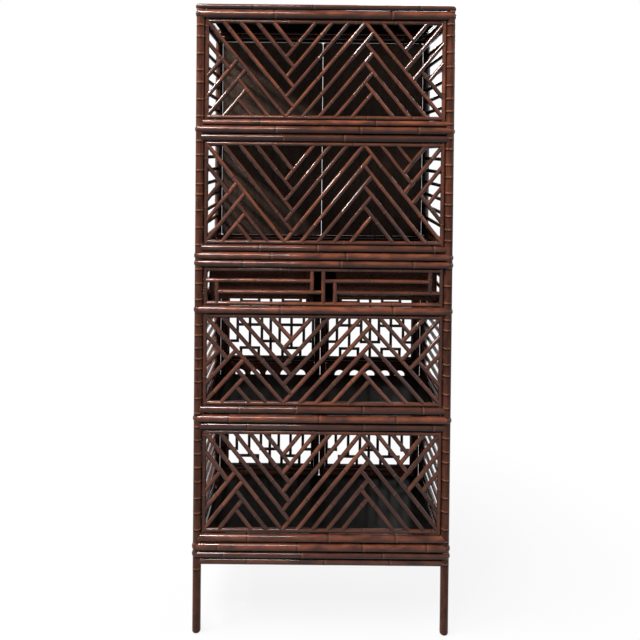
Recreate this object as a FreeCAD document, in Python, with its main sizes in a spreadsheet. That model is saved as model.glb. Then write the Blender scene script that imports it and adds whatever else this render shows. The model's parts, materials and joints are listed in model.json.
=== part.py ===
"""Bamboo display cabinet: five lattice panels in front of boards, two pairs of doors and two drawers.

Lengths are millimetres. X runs along the lattice face, Y runs from the lattice face to the
door face, Z runs up from the floor.
"""
import FreeCAD, Part
import math
import os
import re
from collections import namedtuple

import Sketcher
from FreeCAD import Placement, Rotation, Vector

# Driving sizes
DIMENSIONS = (
    # posts
    ("post_spacing_x", 712),
    ("post_spacing_y", 380),
    ("post_radius", 12),
    ("post_top_drop", 2),
    ("foot_round", 5),
    # joints between canes
    ("wrap_wall", 3),
    ("fit", 0.3),
    ("peg_fit", 0.1),
    # heights of the stack of rails and panels
    ("leg_clear", 196.5),
    ("rail_gap", 0.5),
    ("wide_gap", 3),
    ("tight_gap", 0.5),
    ("crown_nest", 0.8),
    ("base_stretcher_radius", 10),
    ("plinth_wrap_radius", 8.5),
    ("base_wrap_radius", 12.25),
    ("sill_stretcher_radius", 12),
    ("lattice_bottom_height", 295),
    ("lower_shelf_stretcher_radius", 11),
    ("lower_shelf_wrap_radius", 11),
    ("lower_tie_stretcher_radius", 11.5),
    ("lattice_lower_height", 262.5),
    ("drawer_wrap_radius", 11.5),
    ("lattice_waist_height", 109.5),
    ("waist_wrap_radius", 10.5),
    ("upper_sill_wrap_radius", 10.75),
    ("upper_sill_stretcher_radius", 10.75),
    ("lattice_upper_height", 292.5),
    ("upper_shelf_stretcher_radius", 11.5),
    ("upper_shelf_wrap_radius", 10.5),
    ("upper_tie_stretcher_radius", 9),
    ("lattice_top_height", 283.8),
    ("head_wrap_radius", 13.25),
    ("crown_wrap_radius", 7.75),
    # lattice panels
    ("panel_gap", 0.5),
    ("frame_radius", 6),
    ("strip_radius", 5.8),
    ("strip_pitch", 47),
    ("close_pitch", 43),
    ("fret_step", 33),
    ("rung_radius", 5.8),
    ("rung_pitch", 38),
    ("peg_radius", 2.5),
    ("peg_inset", 40),
    ("peg_in_stile", 4),
    ("peg_in_post", 6),
    # boards
    ("board_inset", 15),
    ("board_thickness", 15),
    ("bearer_radius", 8),
    ("bearer_spread", 210),
    # doors
    ("door_setout", 5),
    ("door_gap", 1.6),
    ("door_headroom", 0.8),
    ("stile_radius", 9.5),
    ("door_rail_radius", 8.5),
    ("stile_round", 6),
    ("pintle_radius", 4),
    ("pintle_length", 10),
    ("leaf_thickness", 8),
    ("leaf_margin", 2),
    ("leaf_corner", 10),
    ("band_sill_radius", 6),
    ("band_frame_radius", 5),
    ("stick_radius", 5),
    ("pierced_height", 130),
    ("pierced_thickness", 10),
    ("pierced_slot_width", 34),
    ("pierced_slot_height", 80),
    ("pierced_slot_pitch", 52),
    ("pierced_slots", 5),
    # drawers
    ("drawer_gap", 2),
    ("front_thickness", 16),
    ("front_setback", 3),
    ("front_corner", 4),
    ("drawer_start", 38),
    ("drawer_width", 296),
    ("drawer_depth", 330),
    ("drawer_lift", 6.5),
    ("drawer_height", 82),
    ("drawer_wall", 10),
    ("drawer_floor", 8),
    ("runner_width", 21),
    ("runner_height", 24),
    ("runner_bearing", 12),
    ("guide_height", 12),
    ("guide_clearance", 1),
    ("partition_thickness", 12),
    # ring pulls
    ("eye_radius", 3.2),
    ("eye_wire", 1.3),
    ("shank_depth", 12),
    ("ring_radius", 8),
    ("ring_wire", 1.3),
)
ALIASES = {alias for alias, size in DIMENSIONS}

# Members from the floor up, each with the gap under it
STACK = (
    ("base_stretcher", "leg_clear"),
    ("plinth_wrap", "wide_gap"),
    ("base_wrap", "tight_gap"),
    ("sill_stretcher", "tight_gap"),
    ("lattice_bottom", "wide_gap"),
    ("lower_shelf_stretcher", "rail_gap"),
    ("lower_shelf_wrap", "rail_gap"),
    ("lower_tie_stretcher", "wide_gap"),
    ("lattice_lower", "rail_gap"),
    ("drawer_wrap", "rail_gap"),
    ("lattice_waist", "rail_gap"),
    ("waist_wrap", "rail_gap"),
    ("upper_sill_wrap", "rail_gap"),
    ("upper_sill_stretcher", "rail_gap"),
    ("lattice_upper", "rail_gap"),
    ("upper_shelf_stretcher", "rail_gap"),
    ("upper_shelf_wrap", "rail_gap"),
    ("upper_tie_stretcher", "tight_gap"),
    ("lattice_top", "rail_gap"),
    ("head_wrap", "rail_gap"),
    ("crown_wrap", "rail_gap - crown_nest"),
)
STRETCHERS = tuple(member for member, gap in STACK if member.endswith("stretcher"))
PANELS = tuple(member for member, gap in STACK if member.startswith("lattice"))
THREE_SIDED_WRAPS = ("lower_shelf_wrap", "upper_shelf_wrap")
FULL_WRAPS = tuple(
    member for member, gap in STACK if member.endswith("wrap") and member not in THREE_SIDED_WRAPS
)

# Positions written with the sizes above
POST_X = "(post_spacing_x / 2)"
WRAP_REACH = "(post_radius + wrap_wall)"
EYE_REACH = "(eye_radius + eye_wire + fit)"
EYE_SETOUT = f"(door_setout + stile_radius + {EYE_REACH})"
PULL_REACH = f"({EYE_SETOUT} + eye_radius + eye_wire)"
CENTRE_Y = f"(({WRAP_REACH} - {PULL_REACH}) / 2)"
LATTICE_Y = f"({CENTRE_Y} - post_spacing_y / 2)"
DOOR_Y = f"({CENTRE_Y} + post_spacing_y / 2)"
DOOR_PLANE = f"({DOOR_Y} + door_setout)"
HINGE_X = f"({POST_X} - post_radius - door_gap - stile_radius)"
MEET_X = "(door_gap / 2 + stile_radius)"
TURNS = {
    "X": Rotation(Vector(0, 1, 0), 90),
    "Y": Rotation(Vector(1, 0, 0), -90),
    "Z": Rotation(),
}
SIDES = (("left", -1), ("right", 1))
UP = Vector(0, 0, 1)
WORD = re.compile(r"[a-z][a-z_0-9]*")

Cane = namedtuple("Cane", "start end radius")

DOC = FreeCAD.newDocument("cabinet")
SHEET = DOC.addObject("Spreadsheet::Sheet", "dims")
PARTS = []


def fill_sheet():
    """Write every driving size into the sheet under its alias."""
    for row, (alias, size) in enumerate(DIMENSIONS, start=1):
        SHEET.set(f"A{row}", alias)
        SHEET.set(f"B{row}", str(size))
        SHEET.setAlias(f"B{row}", alias)
    DOC.recompute()


def bound(expression):
    """Point every size named in an expression at its cell."""
    return WORD.sub(
        lambda word: f"dims.{word[0]}" if word[0] in ALIASES else word[0], expression
    )


def number(expression):
    """Work an expression out with the sizes in the sheet."""
    return float(SHEET.evalExpression(bound(expression)))


def stack_levels():
    """Give each rail's axis height, each panel's lower edge and the height of the top."""
    levels = {}
    height = "0"
    for member, gap in STACK:
        height = f"{height} + {gap}"
        if member in PANELS:
            levels[member] = f"({height})"
            height = f"{height} + {member}_height"
        else:
            levels[member] = f"({height} + {member}_radius)"
            height = f"{height} + 2 * {member}_radius"
    levels["top"] = f"({height})"
    return levels


LEVEL = stack_levels()


# Document objects
def place(item, at, along="Z"):
    """Turn an object along an axis and bind its position."""
    item.Placement = Placement(Vector(), TURNS[along])
    for axis, expression in zip("xyz", at):
        item.setExpression(f"Placement.Base.{axis}", bound(expression))


def cane(name, radius, length, at, along="Z"):
    """Add a straight round cane."""
    item = DOC.addObject("Part::Cylinder", name)
    item.setExpression("Radius", bound(radius))
    item.setExpression("Height", bound(length))
    place(item, at, along)
    return item


def board(name, size, corner):
    """Add a plain board from its lowest corner."""
    item = DOC.addObject("Part::Box", name)
    for side, expression in zip(("Length", "Width", "Height"), size):
        item.setExpression(side, bound(expression))
    place(item, corner)
    return item


def loop(name, radius, wire, at, along):
    """Add a wire ring whose axis lies along the given direction."""
    item = DOC.addObject("Part::Torus", name)
    item.setExpression("Radius1", bound(radius))
    item.setExpression("Radius2", bound(wire))
    place(item, at, along)
    return item


def cut(name, base, tool):
    """Cut one object out of another."""
    item = DOC.addObject("Part::Cut", name)
    item.Base = base
    item.Tool = tool
    return item


def fuse(name, members):
    """Join objects into one solid."""
    item = DOC.addObject("Part::MultiFuse", name)
    item.Shapes = members
    return item


def group(name, members):
    """Hold separate solids together under one name."""
    item = DOC.addObject("Part::Compound", name)
    item.Links = members
    return item


def shaped(name, shapes):
    """Add solids worked out from the sheet where no ready-made feature fits."""
    item = DOC.addObject("Part::Feature", name)
    item.Shape = Part.makeCompound(shapes) if len(shapes) > 1 else shapes[0]
    return item


def publish(item):
    """Mark an object as a sub-part that gets its own file."""
    PARTS.append(item)
    return item


def origin_plane(body, role):
    """Find one of a body's own origin planes."""
    return next(item for item in body.Origin.OriginFeatures if item.Role == role)


def sketch_on(body, name, role):
    """Start a sketch on one of a body's origin planes."""
    sketch = body.newObject("Sketcher::SketchObject", name)
    sketch.AttachmentSupport = (origin_plane(body, role), [""])
    sketch.MapMode = "FlatFace"
    return sketch


def rounded_cane(name, radius, length, end_round, at, both_ends):
    """Add an upright cane with its lower end, or both ends, rounded over."""
    body = DOC.addObject("PartDesign::Body", name)
    sketch = sketch_on(body, f"{name}_section", "XY_Plane")
    sketch.addGeometry(Part.Circle(Vector(), UP, number(radius)), False)
    sketch.addConstraint(Sketcher.Constraint("Coincident", 0, 3, -1, 1))
    size = sketch.addConstraint(Sketcher.Constraint("Radius", 0, number(radius)))
    sketch.setExpression(f"Constraints[{size}]", bound(radius))
    pad = body.newObject("PartDesign::Pad", f"{name}_pad")
    pad.Profile = sketch
    pad.setExpression("Length", bound(length))
    DOC.recompute()
    middle = number(length) / 2
    rims = [
        f"Edge{index}"
        for index, edge in enumerate(pad.Shape.Edges, start=1)
        if edge.isClosed() and (both_ends or edge.CenterOfMass.z < middle)
    ]
    fillet = body.newObject("PartDesign::Fillet", f"{name}_round")
    fillet.Base = (pad, rims)
    fillet.setExpression("Radius", bound(end_round))
    place(body, at)
    return body


def add_rectangle(sketch, width, height):
    """Draw a rectangle about the sketch's origin and bind its sides."""
    half_w = number(width) / 2
    half_h = number(height) / 2
    corners = [
        Vector(-half_w, -half_h, 0),
        Vector(half_w, -half_h, 0),
        Vector(half_w, half_h, 0),
        Vector(-half_w, half_h, 0),
    ]
    for start, end in zip(corners, corners[1:] + corners[:1]):
        sketch.addGeometry(Part.LineSegment(start, end), False)
    for side in range(4):
        sketch.addConstraint(Sketcher.Constraint("Coincident", side, 2, (side + 1) % 4, 1))
    for side, sense in enumerate(("Horizontal", "Vertical", "Horizontal", "Vertical")):
        sketch.addConstraint(Sketcher.Constraint(sense, side))
    sketch.addConstraint(Sketcher.Constraint("Symmetric", 0, 1, 2, 1, -1, 1))
    across = sketch.addConstraint(Sketcher.Constraint("DistanceX", 0, 1, 0, 2, 2 * half_w))
    sketch.setExpression(f"Constraints[{across}]", bound(width))
    upward = sketch.addConstraint(Sketcher.Constraint("DistanceY", 1, 1, 1, 2, 2 * half_h))
    sketch.setExpression(f"Constraints[{upward}]", bound(height))


def upright_plate(name, width, height, thickness, corner, centre):
    """Add an upright plate with rounded corners, centred on a point."""
    body = DOC.addObject("PartDesign::Body", name)
    sketch = sketch_on(body, f"{name}_outline", "XZ_Plane")
    add_rectangle(sketch, width, height)
    pad = body.newObject("PartDesign::Pad", f"{name}_pad")
    pad.Profile = sketch
    pad.Midplane = True
    pad.setExpression("Length", bound(thickness))
    DOC.recompute()
    corners = [
        f"Edge{index}"
        for index, edge in enumerate(pad.Shape.Edges, start=1)
        if edge.BoundBox.YLength > edge.BoundBox.XLength + edge.BoundBox.ZLength
    ]
    fillet = body.newObject("PartDesign::Fillet", f"{name}_corners")
    fillet.Base = (pad, corners)
    fillet.setExpression("Radius", bound(corner))
    place(body, centre)
    return body


# Canes worked out from the sheet
def rod(start, end, radius):
    """Make a straight cylinder between two points."""
    run = end - start
    return Part.makeCylinder(radius, run.Length, start, run)


def coped(strip, mates):
    """Make a cane whose ends are hollowed to sit on the canes they meet."""
    tools = []
    for mate in mates:
        over = (mate.end - mate.start).normalize() * (2 * mate.radius)
        tools.append(rod(mate.start - over, mate.end + over, mate.radius + number("fit")))
    return rod(*strip).cut(tools)


class Frame:
    """Two upright canes and the two rails between them."""

    def __init__(self, start, aim, width, low, high, radius):
        self.start = start
        self.aim = aim
        self.width = width
        self.low = low
        self.high = high
        self.radius = radius
        self.left, self.right = (
            Cane(self.at(along, low), self.at(along, high), radius) for along in (0, width)
        )
        self.bottom, self.top = (
            Cane(self.at(0, level), self.at(width, level), radius)
            for level in (low + radius, high - radius)
        )

    def at(self, along, height):
        """Give the point at a distance along the frame and a height."""
        return self.start + self.aim * along + UP * height

    def solids(self, holes=()):
        """Make the four canes, with the uprights drilled."""
        uprights = [rod(*stile) for stile in (self.left, self.right)]
        if holes:
            uprights = [upright.cut(list(holes)) for upright in uprights]
        rails = [coped(rail, (self.left, self.right)) for rail in (self.bottom, self.top)]
        return uprights + rails


def panel_between(member, post_a, post_b):
    """Make the frame of one panel between two posts."""
    inset = number("post_radius + panel_gap + frame_radius")
    run = post_b - post_a
    aim = Vector(run).normalize()
    low = number(LEVEL[member])
    high = low + number(f"{member}_height")
    width = run.Length - 2 * inset
    return Frame(post_a + aim * inset, aim, width, low, high, number("frame_radius"))


def panel_pegs(frame, grow=0.0, lengthen=0.0):
    """Make the pegs that hold a panel to its posts, or the holes for them."""
    inset = number("peg_inset")
    inner = number("frame_radius - peg_in_stile") - lengthen
    outer = number("frame_radius + panel_gap + peg_in_post") + lengthen
    radius = number("peg_radius") + grow
    pegs = []
    for along, away in ((0, -1), (frame.width, 1)):
        for height in (frame.low + inset, frame.high - inset):
            start = frame.at(along + away * inner, height)
            end = frame.at(along + away * outer, height)
            pegs.append(rod(start, end, radius))
    return pegs


def herringbone(frame, pitch, extra_strip):
    """Fill a frame with slanting canes that butt against each other.

    The frame is three units wide and one high here, measured from its top left corner.
    A line is (-1, c) where it falls along x - y = c and (1, c) where it rises along x + y = c.
    """
    step = 3 * pitch / frame.width
    span = frame.width / 3
    drop = frame.top.start.z - frame.bottom.start.z
    edges = {"top": frame.top, "bottom": frame.bottom, "left": frame.left, "right": frame.right}
    turned_edge = {"top": "bottom", "bottom": "top", "left": "right", "right": "left"}

    def meet(line, mate):
        sense, c = line
        if mate == "top":
            return c, 0
        if mate == "bottom":
            return c - sense, 1
        if mate == "left":
            return 0, sense * c
        if mate == "right":
            return 3, sense * (c - 3)
        falling, rising = (c, mate[1]) if sense < 0 else (mate[1], c)
        return (falling + rising) / 2, (rising - falling) / 2

    def point(line, mate):
        across, down = meet(line, mate)
        return frame.at(across * span, frame.top.start.z - down * drop)

    def as_cane(mate):
        if mate in edges:
            return edges[mate]
        return Cane(point(mate, "top"), point(mate, "bottom"), number("strip_radius"))

    def turned(mate):
        if mate in edges:
            return turned_edge[mate]
        sense, c = mate
        return sense, (2 if sense < 0 else 4) - c

    main = (1, 2)
    half = [
        ((-1, 0), ("top", "left"), ("bottom",)),
        ((-1, 2 + step), ("top",), ((1, 3),)),
        ((-1, 2 + 2 * step), ("top",), ((1, 3 - step),)),
        ((1, 3 - step), ((-1, 2 + step),), ("top",)),
        ((1, 3), ((-1, 2),), ("top", "right")),
        ((1, 3 + step), ((-1, 2),), ("right",)),
        ((1, 3 + 2 * step), ((-1, 2 + step),), ("right",)),
        ((-1, 2 + step), ((1, 3 + step),), ("right",)),
    ]
    strips = half + [
        (turned(line), tuple(map(turned, start)), tuple(map(turned, end)))
        for line, start, end in half
    ]
    strips.append((main, ("bottom", (-1, 0)), ("top", (-1, 2))))
    for k in range(1, 5):
        strips.append(((-1, k * step), ("top",), ((1, 2 - (k - 1) * step),)))
        strips.append(((1, 2 + k * step), ("bottom",), ((-1, 2 - (k - 1) * step),)))
    for k in range(1, 4):
        strips.append(((1, 2 - k * step), ((-1, k * step),), ("top",)))
        strips.append(((-1, 2 - k * step), ((1, 2 + k * step),), ("bottom",)))
    if extra_strip:
        strips.append(((1, 2 - 4 * step), ((-1, 4 * step),), ("top",)))
    return [
        coped(
            Cane(point(line, start[0]), point(line, end[0]), number("strip_radius")),
            [as_cane(mate) for mate in start + end],
        )
        for line, start, end in strips
    ]


def waist_fret(frame):
    """Fill the low panel with the same square fret twice."""
    radius = number("strip_radius")
    step = number("fret_step")
    floor = frame.bottom.start.z
    ceiling = frame.top.start.z
    third = (ceiling - floor) / 3
    upper_row = ceiling - third
    lower_row = floor + third
    half = frame.width / 2
    centre = Cane(frame.at(half, floor), frame.at(half, ceiling), radius)
    strips = [(centre, (frame.bottom, frame.top))]
    for begin, left, right in ((0, frame.left, centre), (half, centre, frame.right)):
        inner = begin + step
        outer = begin + half - step
        high = Cane(frame.at(begin, upper_row), frame.at(outer, upper_row), radius)
        low = Cane(frame.at(inner, lower_row), frame.at(begin + half, lower_row), radius)
        drop = Cane(frame.at(outer, ceiling), frame.at(outer, lower_row), radius)
        rise = Cane(frame.at(inner, floor), frame.at(inner, upper_row), radius)
        strips += [
            (high, (left, drop)),
            (low, (rise, right)),
            (drop, (frame.top, low)),
            (rise, (frame.bottom, high)),
        ]
    return [coped(strip, mates) for strip, mates in strips]


def rungs(frame):
    """Fill a frame with level rungs."""
    rise = frame.top.start.z - frame.bottom.start.z
    spaces = round(rise / number("rung_pitch"))
    strips = []
    for k in range(1, spaces):
        height = frame.bottom.start.z + rise * k / spaces
        rung = Cane(frame.at(0, height), frame.at(frame.width, height), number("rung_radius"))
        strips.append(coped(rung, (frame.left, frame.right)))
    return strips


# Fret of a door band as shares of its width: the uprights left of the middle and the legs of a box
FRET_UPRIGHTS = (0.11, 0.255, 0.395)
FRET_LEGS = (0.15, 0.36)
# Fret rows as shares of the height: the box's lid and the tie that turns a corner
FRET_LID = 0.14
FRET_TURN = 0.245


def door_fret(frame):
    """Fill one band of a lower door with a square fret that mirrors both ways."""
    radius = number("stick_radius")
    floor = frame.bottom.start.z
    rise = frame.top.start.z - floor
    lap = radius / frame.width

    def stick(across_a, up_a, across_b, up_b):
        return Cane(
            frame.at(frame.width * across_a, floor + rise * up_a),
            frame.at(frame.width * across_b, floor + rise * up_b),
            radius,
        )

    centre = stick(0.5, 0, 0.5, 1)
    strips = [(centre, (frame.bottom, frame.top))]
    for side, rail in ((0, frame.left), (1, frame.right)):
        sense = 1 - 2 * side
        outer, middle, inner = (side + sense * share for share in FRET_UPRIGHTS)
        legs = [side + sense * share for share in FRET_LEGS]
        first = stick(outer, FRET_TURN, outer, 1 - FRET_TURN)
        second = stick(middle, FRET_LID, middle, 1 - FRET_LID)
        third = stick(inner, FRET_TURN, inner, 1 - FRET_TURN)
        turns = []
        lids = []
        for row, edge in ((0, frame.bottom), (1, frame.top)):
            turn = row + (1 - 2 * row) * FRET_TURN
            lid = row + (1 - 2 * row) * FRET_LID
            tie = stick(side, turn, outer + sense * lap, turn)
            cross = stick(inner - sense * lap, turn, 0.5, turn)
            cover = stick(legs[0] - sense * lap, lid, legs[1] + sense * lap, lid)
            strips += [(tie, (rail,)), (cross, (centre,)), (cover, ())]
            strips += [(stick(leg, row, leg, lid), (edge, cover)) for leg in legs]
            turns.append((tie, cross))
            lids.append(cover)
        strips += [
            (first, [tie for tie, cross in turns]),
            (second, lids),
            (third, [cross for tie, cross in turns]),
            (stick(outer, 0.5, middle, 0.5), (first, second)),
            (stick(middle, 0.5, inner, 0.5), (second, third)),
        ]
    return [coped(strip, mates) for strip, mates in strips]


def wrap_setout(member):
    """Give how far a wrapping rail's axis lies outside the line of the posts."""
    return f"({WRAP_REACH} - {member}_radius)"


def wrap_solid(member, posts, sides, holes):
    """Make a rail that runs along some sides and bends round the posts between them."""
    radius = number(f"{member}_radius")
    out = number(wrap_setout(member))
    height = UP * number(LEVEL[member])
    inner = number("post_radius + fit")
    reach = number(f"{LEVEL['top']} + post_radius")
    clearances = [Part.makeCylinder(inner, reach, post) for post in posts]
    outward = (Vector(0, -1, 0), Vector(1, 0, 0), Vector(0, 1, 0), Vector(-1, 0, 0))
    half = math.sqrt(radius ** 2 - (inner - out) ** 2)
    pieces = []
    for side in sides:
        start = posts[side] + outward[side] * out + height
        end = posts[(side + 1) % 4] + outward[side] * out + height
        pieces.append(rod(start, end, radius).cut(clearances))
        if (side + 1) % 4 in sides:
            post = posts[(side + 1) % 4]
            foot = post + outward[side] * inner + height - UP * half
            crest = post + outward[side] * (out + radius) + height
            head = post + outward[side] * inner + height + UP * half
            rim = Part.Wire([Part.Arc(foot, crest, head).toShape(), Part.makeLine(head, foot)])
            pieces.append(Part.Face(rim).revolve(post, UP, 90))
    solid = pieces[0].fuse(pieces[1:]).removeSplitter()
    return solid.cut(list(holes)) if holes else solid


# Carcass
def post_points():
    """Give the four posts in plan, going round from the left of the lattice face."""
    x = number(POST_X)
    near = number(LATTICE_Y)
    far = number(DOOR_Y)
    return (Vector(-x, near, 0), Vector(x, near, 0), Vector(x, far, 0), Vector(-x, far, 0))


def build_panels(posts):
    """Build the lattice face, the two sides and the pegs; give the holes for the pegs."""
    pegs = []
    holes = []
    pitch = {member: number("strip_pitch") for member in PANELS}
    pitch["lattice_bottom"] = number("close_pitch")
    for member in PANELS:
        frame = panel_between(member, posts[0], posts[1])
        drilled = panel_pegs(frame, number("peg_fit"), number("fit"))
        if member == "lattice_waist":
            filling = waist_fret(frame)
        else:
            filling = herringbone(frame, pitch[member], member == "lattice_bottom")
        publish(shaped(member, frame.solids(drilled) + filling))
        pegs += panel_pegs(frame)
        holes += drilled
    for side, (start, end) in (("left", (0, 3)), ("right", (1, 2))):
        canes = []
        for member in PANELS:
            frame = panel_between(member, posts[start], posts[end])
            drilled = panel_pegs(frame, number("peg_fit"), number("fit"))
            canes += frame.solids(drilled) + rungs(frame)
            pegs += panel_pegs(frame)
            holes += drilled
        publish(shaped(f"{side}_side_panels", canes))
    publish(shaped("panel_pegs", pegs))
    return shaped("peg_holes", holes)


def build_posts(holes):
    """Build the four posts, drilled for the panel pegs."""
    for row, y in (("lattice", LATTICE_Y), ("door", DOOR_Y)):
        for side, sign in SIDES:
            culm = rounded_cane(
                f"{row}_{side}_culm",
                "post_radius",
                f"{LEVEL['top']} - post_top_drop",
                "foot_round",
                (f"{sign} * {POST_X}", y, "0"),
                both_ends=False,
            )
            publish(cut(f"{row}_{side}_post", culm, holes))


def pintle_holes():
    """Make the holes in the rails that the doors turn in."""
    x = number(HINGE_X)
    y = number(DOOR_PLANE)
    radius = number("pintle_radius + peg_fit")
    holes = []
    for foot, head in DOOR_TIERS.values():
        low = number(f"{foot} - pintle_length - fit")
        high = number(f"{head} + pintle_length + fit")
        for sign in (-1, 1):
            spot = Vector(sign * x, y, 0)
            holes.append(rod(spot + UP * low, spot + UP * number(foot), radius))
            holes.append(rod(spot + UP * number(head), spot + UP * high, radius))
    return holes


def build_wraps(posts):
    """Build the rails that bend round the posts."""
    holes = pintle_holes()
    for member in FULL_WRAPS:
        publish(shaped(f"{member}_rail", [wrap_solid(member, posts, (0, 1, 2, 3), holes)]))
    for member in THREE_SIDED_WRAPS:
        publish(shaped(f"{member}_rail", [wrap_solid(member, posts, (3, 0, 1), ())]))


def build_stretchers():
    """Build the rails that butt between the posts."""
    clearance = group(
        "post_clearance",
        [
            cane(f"clear_{row}_{side}", "post_radius + fit", LEVEL["top"],
                 (f"{sign} * {POST_X}", y, "0"))
            for row, y in (("lattice", LATTICE_Y), ("door", DOOR_Y))
            for side, sign in SIDES
        ],
    )
    faces = {"lattice_face": [], "left_side": [], "right_side": [], "door_face": []}
    for member in STRETCHERS:
        radius = f"{member}_radius"
        neighbours = []
        for face, y in (("lattice", LATTICE_Y), ("door", DOOR_Y)):
            if face == "door" and member != "base_stretcher":
                continue
            start = (f"-{POST_X}", y, LEVEL[member])
            bar = cane(f"{face}_{member}_bar", radius, "post_spacing_x", start, "X")
            faces[f"{face}_face"].append(cut(f"{face}_{member}", bar, clearance))
            neighbours.append(
                cane(f"{face}_{member}_clear", f"{radius} + fit", "post_spacing_x", start, "X")
            )
        crossing = group(f"{member}_clearance", neighbours)
        for side, sign in SIDES:
            start = (f"{sign} * {POST_X}", LATTICE_Y, LEVEL[member])
            bar = cane(f"{side}_{member}_bar", radius, "post_spacing_y", start, "Y")
            butted = cut(f"{side}_{member}_butted", bar, clearance)
            faces[f"{side}_side"].append(cut(f"{side}_{member}", butted, crossing))
    publish(group("door_face_stretcher", faces.pop("door_face")))
    for face, members in faces.items():
        publish(group(f"{face}_stretchers", members))


def build_boards():
    """Build the five boards and the pair of canes that carries each of them."""
    carriers = (
        ("top_board", "head_wrap", wrap_setout("head_wrap")),
        ("upper_shelf", "upper_shelf_stretcher", "0"),
        ("upper_floor", "waist_wrap", wrap_setout("waist_wrap")),
        ("lower_shelf", "lower_shelf_stretcher", "0"),
        ("bottom_board", "base_wrap", wrap_setout("base_wrap")),
    )
    bearers = []
    for name, member, setout in carriers:
        half = f"({POST_X} + {setout})"
        clearance = group(
            f"{name}_clearance",
            [
                cane(f"{name}_{side}_clear", f"{member}_radius + fit", "post_spacing_y",
                     (f"{sign} * {half}", LATTICE_Y, LEVEL[member]), "Y")
                for side, sign in SIDES
            ],
        )
        for row, sign in (("near", -1), ("far", 1)):
            y = f"{CENTRE_Y} + {sign} * bearer_spread / 2"
            bar = cane(f"{name}_{row}_bar", "bearer_radius", f"2 * {half}",
                       (f"-{half}", y, LEVEL[member]), "X")
            bearers.append(cut(f"{name}_{row}_bearer", bar, clearance))
        publish(board(
            name,
            ("post_spacing_x - 2 * board_inset", "post_spacing_y - 2 * board_inset",
             "board_thickness"),
            (f"board_inset - {POST_X}", f"{LATTICE_Y} + board_inset",
             f"{LEVEL[member]} + bearer_radius"),
        ))
    publish(group("board_bearers", bearers))


# Doors
DOOR_TIERS = {
    "upper": (
        f"({LEVEL['upper_sill_wrap']} + upper_sill_wrap_radius + door_headroom)",
        f"({LEVEL['head_wrap']} - head_wrap_radius - door_headroom)",
    ),
    "lower": (
        f"({LEVEL['base_wrap']} + base_wrap_radius + door_headroom)",
        f"({LEVEL['drawer_wrap']} - drawer_wrap_radius - door_headroom)",
    ),
}


def build_pull(name, x, face, height):
    """Build an eye driven into a door or drawer and the ring that hangs from it."""
    centre = f"({face} + {EYE_REACH})"
    shank = cane(f"{name}_shank", "eye_wire", f"shank_depth + {EYE_REACH} - eye_radius",
                 (x, f"{face} - shank_depth", height), "Y")
    eye = loop(f"{name}_loop", "eye_radius", "eye_wire", (x, centre, height), "X")
    publish(fuse(f"{name}_eye", [shank, eye]))
    publish(loop(f"{name}_ring", "ring_radius", "ring_wire",
                 (x, centre, f"{height} - ring_radius"), "Y"))


def shank_hole(name, x, face, height):
    """Make the hole that an eye is driven into."""
    return cane(f"{name}_shank_hole", "eye_wire + peg_fit", "shank_depth + fit + eye_wire",
                (x, f"{face} - shank_depth - fit", height), "Y")


def build_door_frame(door, sign, foot, head):
    """Build the cane frame of a door with the pintles it turns on, and its pull."""
    hinge = f"{sign} * {HINGE_X}"
    meet = f"{sign} * {MEET_X}"
    height = f"({head} - {foot})"
    stile = rounded_cane(f"{door}_hinge_culm", "stile_radius", height, "stile_round",
                         (hinge, DOOR_PLANE, foot), both_ends=True)
    pintle = cane(f"{door}_pintle", "pintle_radius", f"{height} + 2 * pintle_length",
                  (hinge, DOOR_PLANE, f"{foot} - pintle_length"))
    hinge_stile = fuse(f"{door}_hinge_stile", [stile, pintle])
    face = f"({DOOR_PLANE} + stile_radius)"
    middle = f"(({foot} + {head}) / 2)"
    culm = rounded_cane(f"{door}_meeting_culm", "stile_radius", height, "stile_round",
                        (meet, DOOR_PLANE, foot), both_ends=True)
    meeting_stile = cut(f"{door}_meeting_stile", culm, shank_hole(door, meet, face, middle))
    clearance = group(
        f"{door}_stile_clearance",
        [
            cane(f"{door}_{stile_name}_clear", "stile_radius + fit", height,
                 (x, DOOR_PLANE, foot))
            for stile_name, x in (("hinge", hinge), ("meet", meet))
        ],
    )
    begin = hinge if sign < 0 else meet
    rails = []
    for rail, level in (("head", f"{head} - door_rail_radius"),
                        ("foot", f"{foot} + door_rail_radius")):
        bar = cane(f"{door}_{rail}_bar", "door_rail_radius", f"{HINGE_X} - {MEET_X}",
                   (begin, DOOR_PLANE, level), "X")
        rails.append(cut(f"{door}_{rail}_rail", bar, clearance))
    publish(group(f"{door}_frame", [hinge_stile, meeting_stile] + rails))
    build_pull(door, meet, face, middle)


def build_upper_door(side, sign):
    """Build an upper door: a cane frame with a board fixed to its inner face."""
    door = f"upper_{side}_door"
    foot, head = DOOR_TIERS["upper"]
    build_door_frame(door, sign, foot, head)
    outer = f"({HINGE_X} + stile_radius - leaf_margin)"
    inner = "(door_gap / 2 + leaf_margin)"
    publish(upright_plate(
        f"{door}_leaf",
        f"{outer} - {inner}",
        f"{head} - {foot} - 2 * leaf_margin",
        "leaf_thickness",
        "leaf_corner",
        (f"{sign} * ({outer} + {inner}) / 2",
         f"{DOOR_PLANE} - stile_radius - fit - leaf_thickness / 2",
         f"({foot} + {head}) / 2"),
    ))


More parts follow.
